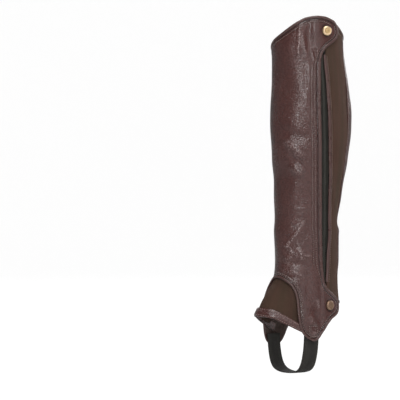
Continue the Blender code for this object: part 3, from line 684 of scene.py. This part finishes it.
def strip(name, rows, layer, look, slot, replaced, lift=no_lift):
    """A sheet from rows of chart points, all with the same number of points."""
    chart, faces = grid(rows)
    outer, inner = (skin(chart, layer[k] + lift(chart)) for k in (1, 0))
    made = closed_sheet(outer, inner, faces)
    obj = add_piece(name, *made, look, slot, [replaced], np.vstack([chart, chart]))
    declare(chart, faces)
    return obj


def tube_faces(rings, corners):
    """Faces round a row of rings, closed at both ends."""
    faces = []
    for here in range(0, (rings - 1) * corners, corners):
        for k in range(corners):
            there, after = here + corners, (k + 1) % corners
            faces.append((here + k, here + after, there + after, there + k))
    last = (rings - 1) * corners
    return faces + [tuple(range(corners - 1, -1, -1)), tuple(range(last, last + corners))]


def tube_mesh(centre, side, rise, width, height, corners, power=1.0):
    """Points and faces of a cord with one oval ring at each point of a line."""
    angles = np.arange(corners) * 2 * math.pi / corners
    c, s = np.cos(angles), np.sin(angles)
    c, s = np.sign(c) * np.abs(c) ** power, np.sign(s) * np.abs(s) ** power
    rings = centre[:, None] + side[:, None] * c[None, :, None] * width
    rings = rings + rise[:, None] * s[None, :, None] * height
    return rings.reshape(-1, 3), tube_faces(len(centre), corners)


def bound_edge(name, line, lift, replaced):
    """The folded strip that binds an edge, from the traced outer line inwards."""
    line = respaced(line, 2.0)
    path = inwards(line, CORD_WIDTH, WIDE_CORD)
    centre = skin(path, CORD_SEAT + lift(path))
    ahead = unit(np.gradient(centre, axis=0))
    side = unit(np.cross(ahead, normals(*path.T)))
    half = (CORD_WIDTH + (WIDE_CORD - CORD_WIDTH) * by_zip(line))[:, None, None]
    made = tube_mesh(centre, side, unit(np.cross(ahead, side)), half, CORD_RISE, 14, 0.8)
    add_piece(name, *made, BINDING_LOOK, "binding", [replaced])


def stitch_points(line, height):
    """Thread along a chart line: each stitch dips into the leather at its two ends."""
    line = respaced(line, STITCH_PITCH)
    points, out = skin(line, height(line)), normals(*line.T)
    ahead = unit(np.gradient(points, axis=0))
    side = unit(np.cross(ahead, out))
    turn = np.arange(THREAD_SIDES) * 2 * math.pi / THREAD_SIDES
    ring = np.cos(turn)[None, :, None] * side[:, None] + np.sin(turn)[None, :, None] * out[:, None]
    rings = []
    for along, size, rise in STITCH:
        centre = points + ahead * along * STITCH_LENGTH + out * rise
        rings.append(centre[:, None] + ring * THREAD_RADIUS * size)
    return np.stack(rings, 1).reshape(-1, 3)


def stitches(name, rows):
    """rows holds a chart line and the function that gives the leather's outer face under it."""
    points = np.vstack([stitch_points(line, height) for line, height in rows])
    one, count = tube_faces(len(STITCH), THREAD_SIDES), len(STITCH) * THREAD_SIDES
    starts = range(0, len(points), count)
    faces = [tuple(i + first for i in face) for first in starts for face in one]
    add_piece(name, points, faces, THREAD_LOOK, "leather", closed=False)


def frame_at(phi, h):
    """Round the leg, up and outwards, at one chart point."""
    out, round_it = normals(phi, h), unit(ways(phi, h)[0])
    return np.array([round_it, np.cross(out, round_it), out])


def lathe(profile, at, axes, sides=48):
    """A turned shape: profile holds radii and heights, with one point where the radius is 0."""
    points, faces, rings = [], [], []
    for radius, height in profile:
        turns = [2 * math.pi * k / sides for k in range(sides if radius else 1)]
        rings.append(range(len(points), len(points) + len(turns)))
        for turn in turns:
            ring = axes[0] * math.cos(turn) + axes[1] * math.sin(turn)
            points.append(at + ring * radius + axes[2] * height)
    for here, there in zip(rings, rings[1:]):
        for k in range(sides):
            after = (k + 1) % sides
            ring = [here[k % len(here)], here[after % len(here)]]
            ring += [there[after % len(there)], there[k % len(there)]]
            faces.append(tuple(dict.fromkeys(ring)))
    return np.array(points), faces


# ---------------------------------------------------------------- materials


def scaled(colour, factor):
    return tuple(c * factor for c in colour)


class Look:
    """A Principled material and short ways to add nodes to it."""

    def __init__(self, name, roughness=0.5, **sockets):
        self.material = bpy.data.materials.new(name)
        self.material.use_nodes = True
        self.tree = self.material.node_tree
        self.shader = self.tree.nodes["Principled BSDF"]
        self.shader.inputs["Roughness"].default_value = roughness
        for socket, value in sockets.items():
            self.shader.inputs[socket.replace("_", " ")].default_value = value

    def feed(self, socket, value):
        if isinstance(value, bpy.types.NodeSocket):
            self.tree.links.new(value, socket)
        else:
            socket.default_value = value

    def node(self, kind, inputs=None, **settings):
        made = self.tree.nodes.new("ShaderNode" + kind)
        for name, value in settings.items():
            setattr(made, name, value)
        for name, value in (inputs or {}).items():
            self.feed(made.inputs[name], value)
        return made

    def place(self):
        return self.node("TexCoord").outputs["Object"]

    def painted(self, kind):
        return self.node("Attribute", attribute_name=kind).outputs["Fac"]

    def noise(self, where, scale, detail=3.0, rough=0.5):
        inputs = {"Vector": where, "Scale": scale, "Detail": detail, "Roughness": rough}
        return self.node("TexNoise", inputs).outputs["Fac"]

    def pebbles(self, where, scale, smoothness):
        """1 at the middle of each pebble, 0 between them."""
        inputs = {"Vector": where, "Scale": scale, "Smoothness": smoothness}
        made = self.node("TexVoronoi", inputs, feature="SMOOTH_F1")
        return self.spread(made.outputs["Distance"], 0.05, 0.75, 1.0, 0.0)

    def mix(self, factor, first, second):
        made = self.node("Mix", data_type="RGBA")
        for name, value in (("Factor_Float", factor), ("A_Color", first), ("B_Color", second)):
            socket = next(s for s in made.inputs if s.identifier == name)
            self.feed(socket, (*value, 1.0) if isinstance(value, tuple) else value)
        return next(s for s in made.outputs if s.identifier == "Result_Color")

    def math(self, operation, *values):
        made = self.node("Math", operation=operation)
        for socket, value in zip(made.inputs, values):
            self.feed(socket, value)
        return made.outputs[0]

    def spread(self, value, low, high, to_low, to_high):
        inputs = {"Value": value, "From Min": low, "From Max": high}
        inputs |= {"To Min": to_low, "To Max": to_high}
        return self.node("MapRange", inputs).outputs["Result"]

    def finish(self, colour, roughness=None, height=None, distance=0.0):
        """Feeds the shader's colour, roughness and bump, and gives the material."""
        self.feed(self.shader.inputs["Base Color"], colour)
        if roughness:
            self.feed(self.shader.inputs["Roughness"], roughness)
        if height:
            made = self.node("Bump", {"Height": height, "Distance": distance, "Strength": 1.0})
            self.feed(self.shader.inputs["Normal"], made.outputs["Normal"])
        return self.material


def leather(name, dark, light, grain, depth, rough, waves):
    """Pebble-grained, half-gloss leather: grain is in pebbles a metre, depth and waves in mm."""
    look = Look(name)
    place = look.place()
    shift = look.node("TexNoise", {"Vector": place, "Scale": grain * 0.7}).outputs["Color"]
    shift = look.node("VectorMath", {0: shift, "Scale": 0.9 / grain}, operation="SCALE").outputs[0]
    warp = look.node("VectorMath", {0: place, 1: shift}, operation="ADD").outputs[0]
    dome, little = look.pebbles(warp, grain, 0.35), look.pebbles(warp, grain * 2.3, 0.4)
    broad, mottle = look.noise(place, 30.0, 4.0, 0.6), look.noise(place, 150.0)
    base = look.mix(broad, dark, light)
    base = look.mix(look.spread(mottle, 0.35, 0.7, 0.0, 0.4), base, scaled(dark, 0.7))
    # Painted shade in the gaps between the pebbles.
    base = look.mix(look.spread(dome, 0.1, 0.55, 0.45, 0.0), base, scaled(dark, 0.5))
    # Painted highlight, strongest on the pebbles' tops.
    painted_highlight = look.math("MULTIPLY", look.painted("painted_highlight"), look.spread(dome, 0.3, 0.7, 0.05, 1.0))
    base = look.mix(painted_highlight, base, PAINTED_HIGHLIGHT_COLOUR)
    # Painted shade where the leather is sunk and round the snaps.
    base = look.mix(look.painted("painted_shade"), base, scaled(dark, 0.3))
    flesh = look.painted("flesh")
    base = look.mix(flesh, base, look.mix(mottle, FLESH, scaled(FLESH, 1.5)))
    shine = look.spread(look.math("MULTIPLY_ADD", mottle, 0.6, broad), 0.55, 1.05, *rough)
    shine = look.math("MAXIMUM", shine, look.math("MULTIPLY", flesh, 0.88))
    height = look.math("MULTIPLY_ADD", dome, depth, look.math("MULTIPLY", little, depth * 0.3))
    height = look.math("MULTIPLY_ADD", look.noise(place, 95.0, 2.0, 0.45), waves, height)
    return look.finish(base, shine, height, 0.001)


def smooth_leather(name, dark, light):
    """The thin strip of a bound edge: nearly grainless, creased across."""
    look = Look(name)
    place = look.place()
    broad = look.noise(place, 60.0, 4.0, 0.6)
    shine = look.spread(broad, 0.3, 0.7, 0.24, 0.36)
    height = look.math("ADD", look.noise(place, 900.0), look.noise(place, 240.0, 2.0))
    return look.finish(look.mix(broad, dark, light), shine, height, 0.0003)


def ribbed(name, dark, light, across, along, depth, rough=0.88, sheen=0.25, turn=0.0):
    """Stretch cloth or webbing: ribs `across` and threads `along`, both for a metre of chart."""
    look = Look(name, rough, Sheen_Weight=sheen, Sheen_Roughness=0.5, Sheen_Tint=(*light, 1.0),
                Specular_IOR_Level=0.25)  # fmt: skip
    inputs = {"Vector": look.node("UVMap", uv_map="chart").outputs["UV"], "Angle": turn}
    chart = look.node("VectorRotate", inputs, rotation_type="Z_AXIS").outputs[0]
    axes = look.node("SeparateXYZ", {"Vector": chart}).outputs
    rib = look.math("SINE", look.math("MULTIPLY", axes[0], across * 2 * math.pi))
    shift = look.math("MULTIPLY", look.math("GREATER_THAN", rib, 0.0), math.pi)
    thread = look.math("SINE", look.math("MULTIPLY_ADD", axes[1], along * 2 * math.pi, shift))
    streak = look.node("VectorMath", {0: chart, 1: (150.0, 5.0, 1.0)}, operation="MULTIPLY")
    streak = look.noise(streak.outputs[0], 1.0, 2.0)
    height = look.math("MULTIPLY_ADD", thread, 0.35, look.math("ABSOLUTE", rib))
    # Painted shade where the ribs and threads sink.
    shade = look.spread(height, -0.3, 1.2, 0.0, 1.0)
    base = look.mix(look.spread(streak, 0.35, 0.65, 0.0, 1.0), dark, light)
    base = look.mix(look.spread(shade, 0.0, 0.8, 0.4, 0.0), base, scaled(dark, 0.4))
    # Painted shade where the cloth is sunk, and under the arch on the gusset.
    base = look.mix(look.painted("painted_shade"), base, scaled(dark, 0.4))
    return look.finish(base, None, height, depth)


def metal(name, bright, dull, rough):
    look = Look(name, Metallic=1.0)
    place = look.place()
    worn = look.noise(place, 420.0, 5.0, 0.65)
    dulled = look.math("MAXIMUM", look.spread(worn, 0.45, 0.72, 0.0, 1.0), look.painted("plate"))
    shine = look.spread(worn, 0.3, 0.7, rough, rough + 0.22)
    return look.finish(look.mix(dulled, bright, dull), shine, look.noise(place, 1600.0), 0.00006)


def thread_look(name, colour):
    look = Look(name, 0.6, Sheen_Weight=0.3)
    place = look.place()
    inputs = {"Vector": place, "Scale": 900.0, "Distortion": 1.5}
    twist = look.node("TexWave", inputs, bands_direction="DIAGONAL").outputs["Fac"]
    base = look.mix(look.noise(place, 300.0), colour, scaled(colour, 1.6))
    return look.finish(base, None, twist, 0.00008)


def coil_look(name, colour):
    look = Look(name, 0.42)
    return look.finish(look.mix(look.noise(look.place(), 500.0), colour, scaled(colour, 0.6)))


# Colour of the painted highlight on the crests of the folds and the lit patches.
PAINTED_HIGHLIGHT_COLOUR = (0.42, 0.33, 0.32)  # the crests of the folds
FLESH = (0.050, 0.032, 0.026)  # the leather's inner side
# fmt: off
LEATHER_LOOK = leather("pebble_leather", (0.061, 0.022, 0.019), (0.095, 0.038, 0.033),
                       500.0, 0.205, (0.21, 0.30), 0.18)
PATCH_LOOK = leather("patch_leather", (0.058, 0.025, 0.023), (0.080, 0.037, 0.034),
                     760.0, 0.14, (0.42, 0.56), 0.2)
LINING_LOOK = leather("facing_leather", (0.045, 0.024, 0.021), (0.070, 0.039, 0.034),
                      800.0, 0.10, (0.5, 0.65), 0.2)
BINDING_LOOK = smooth_leather("binding_leather", (0.052, 0.023, 0.020), (0.086, 0.041, 0.036))
ELASTIC_LOOK = ribbed("stretch_cloth", (0.057, 0.034, 0.021), (0.076, 0.037, 0.026),
                      900.0, 1400.0, 0.00012)
TAPE_LOOK = ribbed("zip_tape_weave", (0.017, 0.016, 0.013), (0.024, 0.023, 0.019),
                   1500.0, 1500.0, 0.0001, 0.8, 0.1, 0.78)
STRAP_LOOK = ribbed("strap_webbing", (0.024, 0.022, 0.020), (0.036, 0.033, 0.029),
                    700.0, 900.0, 0.0002, 0.75, 0.15)
# fmt: on
THREAD_LOOK = thread_look("thread_brown", (0.165, 0.105, 0.090))
COIL_LOOK = coil_look("zip_coil", (0.044, 0.042, 0.034))
BRASS_LOOK = metal("bright_brass", (0.84, 0.63, 0.41), (0.54, 0.37, 0.185), 0.30)
# A darker brass, for the bottom snap and the zip slider.
DARK_BRASS_LOOK = metal("dark_brass", (0.30, 0.20, 0.14), (0.255, 0.165, 0.112), 0.38)

# ---------------------------------------------------------------- the pieces

SEAM_TOP = float(front_seam(453.0))
RIM_FRONT = rim_curve(SEAM_TOP - 1.0, 98.5)
TAB_LINE = spline(TOP_TAB, 2.0)
ZIP_FRONT_LINE = zip_curve(1, 146, 430)[::-1]
FOOT_LINE = spline(BOTTOM_FRONT, 2.0)
FRONT_EDGE = respaced(np.vstack([RIM_FRONT, TAB_LINE, ZIP_FRONT_LINE, FOOT_LINE]), 2.2)
HEM_LINE = spline(BOTTOM_FRONT[-3:-1] + BOTTOM_BACK, 2.2)
BACK = BACK_SEAM - 360.0
CORNER_DROP = 1.25 * EDGE_INSET  # where a panel's top meets the back seam, on the sloping rim


def front_panel():
    edge = to_seam(shifted(FRONT_EDGE, EDGE_INSET), 1)
    h = np.arange(edge[-1, 1] + 2, edge[0, 1] - 2, 2.5)
    seam = by_seam(h, GAP / 2)
    low_edge = respaced(np.vstack([TAB_LINE[4:], ZIP_FRONT_LINE, FOOT_LINE]), 2.2)
    foot = respaced(FOOT_LINE, 2.2)
    rows = [
        part(shifted(RIM_FRONT, RIM_ROW), (-31, 94)),
        to_seam(inwards(low_edge, EDGE_ROW, ZIP_ROW), 1, 4.0),
        shifted(zip_curve(1, 158, 428), -SECOND_ZIP_ROW),
        part(shifted(foot, ARCH_ROW), (-27, 41), (66, 600)),
        by_seam(h[(h > 62) & (h < 442)], SEAM_ROW),
        sewn_box(OUTER_BOX),
    ]
    # A line of painted highlight along the arch: lighter colour only, no relief.
    painted_highlight_line = part(shifted(foot, ARCH_PAINTED_HIGHLIGHT), (-24, 38), (92, 600))
    groove = to_seam(inwards(FRONT_EDGE, EDGE_GROOVE, ZIP_GROOVE), 1, 3.0)
    cloth = Cloth(np.vstack([edge, seam]), LEATHER, front_lift, rows, [seam], 2.0, [groove], [painted_highlight_line])
    cloth.piece("front_leather", LEATHER_LOOK, "leather", "front_panel")
    return cloth


def medial_panel():
    rear_phi = BACK + 0.25
    top = to_seam(shifted(respaced(rim_curve(BACK + 0.3, SEAM_TOP + 1.0), 2.2), EDGE_INSET), -1)
    hem = to_seam(shifted(HEM_LINE, EDGE_INSET), -1)
    hem[-1, 0] = rear_phi
    top[0] = rear_phi, float(rim(BACK)) - CORNER_DROP
    h = np.arange(hem[0, 1] + 2, top[-1, 1] - 2, 2.5)
    seam = by_seam(h, -GAP / 2)[::-1]
    rear = upright(rear_phi, hem[-1, 1] + 2, top[0, 1] - 2)
    rows = [
        shifted(rim_curve(BACK + 3, -37.0), RIM_ROW),
        to_seam(shifted(HEM_LINE, HEM_ROW), -1, 5.0),
        by_seam(h[(h > 60) & (h < 440)], -SEAM_ROW),
        part(rear + (BACK_SEAM_ROW, 0.0), h=(108, 462)),
        sewn_box(INNER_BOX),
    ]
    grooves = [to_seam(shifted(HEM_LINE, BACK_GROOVE), -1, 3.0)[:-2]]
    grooves.append(shifted(rim_curve(BACK + 2, -37.0), BACK_GROOVE))
    outline = np.vstack([top, seam, hem, rear])
    cloth = Cloth(outline, LEATHER, flap_lift, rows, [seam, rear], grooves=grooves)
    cloth.piece("medial_leather", LEATHER_LOOK, "leather", "medial_panel")
    return cloth


def calf_patch():
    patch = spline(PATCH_EDGE + PATCH_EDGE[:1], 2.4)[:-1]
    edge = np.vstack([patch, patch[:1]])
    second = part(shifted(edge, SECOND_PATCH_ROW), h=(236, 600))
    # It starts after the longest gap, which is at the patch's foot.
    first = np.argmax(np.linalg.norm(np.diff(flat(second), axis=0), axis=1)) + 1
    rows = [shifted(edge, PATCH_ROW), np.roll(second, -first, 0)]
    cloth = Cloth(patch, PATCH, flap_lift, rows, [edge])
    cloth.piece("grip_patch", PATCH_LOOK, "leather", "calf_patch")
    return cloth


def stretch_panel():
    back = BACK_SEAM - 0.25
    tongue = rim_curve(74.0, 107.5, 15) - (0.0, TONGUE_DROP)
    top = shifted(rim_curve(111.5, back, 14), EDGE_INSET)
    top[-1] = back, float(rim(back)) - CORNER_DROP
    bottom = spline(ELASTIC_BOTTOM, 2.4)
    bottom[0, 0] = back
    rear = upright(back, bottom[0, 1] + 2, top[-1, 1] - 2)[::-1]
    opening = respaced(shifted(zip_curve(2, 128, 440), EDGE_INSET), 2.4)
    outline = np.vstack([tongue, top, rear, bottom, opening, spline(ELASTIC_TOP, 2.4)])
    rows = [shifted(zip_curve(2, 134, 440), STRETCH_ROW)]
    rows.append(shifted(rim_curve(114.0, back - 3, 12), RIM_ROW))
    cloth = Cloth(outline, ELASTIC, no_lift, rows, [rear], 2.6)
    cloth.piece("stretch_panel", ELASTIC_LOOK, "elastic", "elastic_panel")
    return cloth


def zip_tape():
    rows = []
    for h in np.arange(109.5, 466.0, 3.0):
        front, rear = (float(smooth(ZIP, column, h)) for column in (1, 2))
        beyond = float(mm_to_degrees(front, h, TAPE_BEYOND))
        phi = np.linspace(front - beyond, rear + beyond, 15)
        rows.append(np.stack([phi, np.full(15, h)], 1))
    strip("zip_tape_cloth", rows, TAPE, TAPE_LOOK, "webbing", "zip_tape")


def zip_coil():
    """The closed coil: short rounded bars, from one side and the other in turn."""
    along, rises, sizes = np.array(COIL_BAR).T[..., None]
    points, faces = [], []
    for number, h in enumerate(np.arange(112.0, 452.0, COIL_PITCH)):
        middle = float(smooth(ZIP, 1, h) + smooth(ZIP, 2, h)) / 2
        (round_it, up_it, out), ground = frame_at(middle, h), skin([[middle, h]], TAPE[1])
        way = 1.0 if number % 2 else -1.0
        centre = ground + along * way * round_it + rises * out
        side, rise = (np.repeat(axis[None], len(COIL_BAR), 0) for axis in (up_it, out))
        ring, around = tube_mesh(centre, side, rise, sizes[:, None], sizes[:, None], 7)
        faces += [tuple(i + len(points) for i in face) for face in around]
        points += list(ring)
    add_piece("zip_coil_bars", points, faces, COIL_LOOK, "webbing", closed=False)


def rim_facing():
    line = rim_curve(-256.0, 54.0, 156)
    rows = [line - (0.0, drop) for drop in np.linspace(*FACING_DEPTHS, 13)]
    strip("rim_facing", rows, FACING, LINING_LOOK, "leather", "top_facing")


def instep_gusset():
    edge = spline(GUSSET_EDGE + GUSSET_EDGE[:1], 2.2)[:-1]
    cloth = Cloth(edge, GUSSET, no_lift, pitch=2.4)
    obj = cloth.piece("instep_gusset", ELASTIC_LOOK, "elastic", "front_gusset")
    far = distance_to(flat(cloth.chart), [finely(flat(FOOT_LINE))])
    paint(obj, "painted_shade", 0.35 * bell(far, 9.0))  # the arch's shade


def gusset_band():
    """Returns the band's two rows of stitches."""
    phi = np.linspace(-45.0, 48.0, 90)

    def row(t):
        low, high = (smooth(BAND_EDGES, column, phi) for column in (1, 2))
        return np.stack([phi, low + (high - low) * t], 1)

    def crown(chart):
        low, high = (smooth(BAND_EDGES, column, chart[:, 0]) for column in (1, 2))
        t = np.clip((chart[:, 1] - low) / (high - low), 0, 1)
        return 0.9 * np.sin(t**0.6 * math.pi) ** 0.7

    rows, below = [row(t) for t in np.linspace(0, 1, 9)], ["instep_gusset"]
    obj = strip("gusset_band", rows, BAND, LEATHER_LOOK, "leather", "front_band", crown)
    # Painted highlight along the band's upper rows.
    paint(obj, "painted_highlight", np.repeat((0, 0, 0, 0, 0.08, 0.16, 0.2, 0.12, 0), len(phi)))
    return [(row(t)[5:-5], lambda chart: BAND[1] + crown(chart)) for t in (0.16, 0.84)]


def sole_strap():
    line = resampled(STRAP_LINE, np.arange(len(STRAP_LINE)), 103)
    for _ in range(6):
        line[1:-1] = (line[:-2] + 2 * line[1:-1] + line[2:]) / 4
    half, h = line.T
    across = np.linspace(-STRAP_HALF, STRAP_HALF, 9)
    y = np.linspace(*STRAP_CENTRES, len(line))[:, None] + across[None, :]
    on_leg = step(h, STRAP_LEAVES - 6, STRAP_LEAVES + 8)
    half = on_leg * np.sign(half) * smooth(FORM, 3, h) + (1 - on_leg) * half
    x = half[:, None] * np.sqrt(1 - (y / smooth(FORM, 1, h)[:, None]) ** 2)
    middle = np.stack([x, y, np.broadcast_to(h[:, None], x.shape) - ORIGIN_HEIGHT], -1)
    out = unit(np.cross(np.gradient(middle, axis=0), np.gradient(middle, axis=1)))
    out = out if out[0, 0, 0] > 0 else -out
    thick = (STRAP[1] - STRAP[0]) * (1 - 0.35 * (np.abs(across) / STRAP_HALF) ** 6)
    outer, inner = middle + out * (STRAP[0] + thick)[None, :, None], middle + out * STRAP[0]
    along = lengths(middle[:, 4])
    chart = [np.stack([across / DEGREE_WIDTH, np.full(9, at)], 1) for at in along]
    chart, faces = grid(chart)
    made = closed_sheet(outer.reshape(-1, 3), inner.reshape(-1, 3), faces)
    chart = np.vstack([chart, chart])
    obj = add_piece("sole_strap", *made, STRAP_LOOK, "webbing", ["stirrup_strap"], chart)


def bound_edges():
    bound_edge("bound_front", to_seam(FRONT_EDGE, 1, 0.2), front_lift, "binding_front")
    rim_line = to_seam(rim_curve(-247.8, SEAM_TOP + 1.0), -1, 0.2)
    bound_edge("bound_rim", rim_line, no_lift, "binding_top_back")
    hem = part(to_seam(HEM_LINE, -1, 0.2), (-221.5, 0))
    bound_edge("bound_hem", hem, flap_lift, "binding_hem_back")
    bound_edge("zip_piping", zip_curve(2, ZIP_FOOT, ZIP_TOP + 2), no_lift, "binding_zip_back")


def snaps():
    for (name, phi, h), look, tilt in zip(SNAPS, (BRASS_LOOK, DARK_BRASS_LOOK), CAP_TILT):
        axes, at = frame_at(phi, h), np.array([[phi, h]])
        top, under = skin(at, LEATHER[1] + front_lift(at))[0], skin(at, 0.15)[0]
        points, faces = lathe([(r * CAP_SIZE, z) for r, z in SNAP_CAP], top, axes)
        across, up, rise = axes @ (points - top).T
        lean = 0.4 + across * math.tan(math.radians(tilt))
        points += axes[2] * (lean * (rise > 0))[:, None]
        cap = add_piece("snap_" + name, points, faces, look, "brass", ["snap_cap_" + name])
        plate = np.clip((PLATE_RADIUS - np.hypot(across, up) / CAP_SIZE) * 2.0, 0.0, 1.0)
        paint(cap, "plate", plate)
        made = lathe(SNAP_BACK, under, axes, 36)
        add_piece("snap_ring_" + name, *made, look, "brass", ["snap_back_" + name])


def rows_of(cloth):
    return [(line, cloth.outer) for line in cloth.rows]


def studio():
    """A pale bowl for a floor and backdrop, and soft boxes."""
    turns = np.linspace(0.05, math.pi / 2, 14)
    profile = [(0.0, 0.0), (3.0, 0.0)]
    profile += [(3.0 + 1.6 * math.sin(a), 1.6 - 1.6 * math.cos(a)) for a in turns] + [(4.6, 3.2)]
    floor = np.array((0.0, 0.0, -ORIGIN_HEIGHT / 1000.0))
    look = Look("pale_floor", 0.9)
    look.finish(look.mix(look.noise(look.place(), 8.0), (0.80, 0.80, 0.80), (0.84, 0.84, 0.84)))
    glow = look.node("Emission", {"Color": (1.0, 1.0, 1.0, 1.0), "Strength": 1.14}).outputs[0]
    seen = look.math("MULTIPLY", look.node("LightPath").outputs["Is Camera Ray"], 0.82)
    blend = look.node("MixShader", {"Fac": seen, 1: look.shader.outputs[0], 2: glow})
    look.feed(look.tree.nodes["Material Output"].inputs["Surface"], blend.outputs[0])
    mesh = smooth_mesh("studio_floor", *lathe(profile, floor, np.eye(3), 96), look.material)
    linked("studio_floor", mesh)
    world = bpy.context.scene.world = bpy.data.worlds.new("studio")
    world.use_nodes = True
    background = world.node_tree.nodes["Background"].inputs
    background["Color"].default_value = (1.0, 1.0, 1.0, 1.0)
    background["Strength"].default_value = 0.13
    for name, azimuth, elevation, far, size, power in LIGHTS:
        light = bpy.data.lights.new(name, "AREA")
        light.shape, light.size, light.size_y, light.energy = "RECTANGLE", *size, power
        lamp = linked(name, light)
        a, e = math.radians(azimuth), math.radians(elevation)
        way = Vector((math.sin(a) * math.cos(e), -math.cos(a) * math.cos(e), math.sin(e)))
        lamp.location = way * far
        lamp.rotation_mode = "QUATERNION"
        lamp.rotation_quaternion = way.to_track_quat("Z", "Y")


def camera():
    made = bpy.data.cameras.new("camera")
    made.sensor_width, made.lens = 36.0, 143.5
    made.clip_start, made.clip_end = 0.05, 50.0
    obj = linked("camera", made)
    obj.location = (1.7624, -1.3254, -0.1035)
    obj.rotation_mode = "QUATERNION"
    obj.rotation_quaternion = Vector((-0.8387, 0.5446, 0.0)).to_track_quat("-Z", "Y")
    bpy.context.scene.camera = obj


camera()
FRONT, MEDIAL = front_panel(), medial_panel()
GRIP, STRETCH = calf_patch(), stretch_panel()
zip_tape()
zip_coil()
rim_facing()
instep_gusset()
BAND_ROWS = gusset_band()
sole_strap()
bound_edges()
snaps()
stitches("stitch_rows_panels", rows_of(FRONT) + rows_of(MEDIAL))
stitches("stitch_rows_small", rows_of(GRIP) + rows_of(STRETCH) + BAND_ROWS)
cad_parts["zip_slider"].data.materials.clear()
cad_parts["zip_slider"].data.materials.append(DARK_BRASS_LOOK)
studio()
bpy.context.scene.view_settings.view_transform = "Standard"
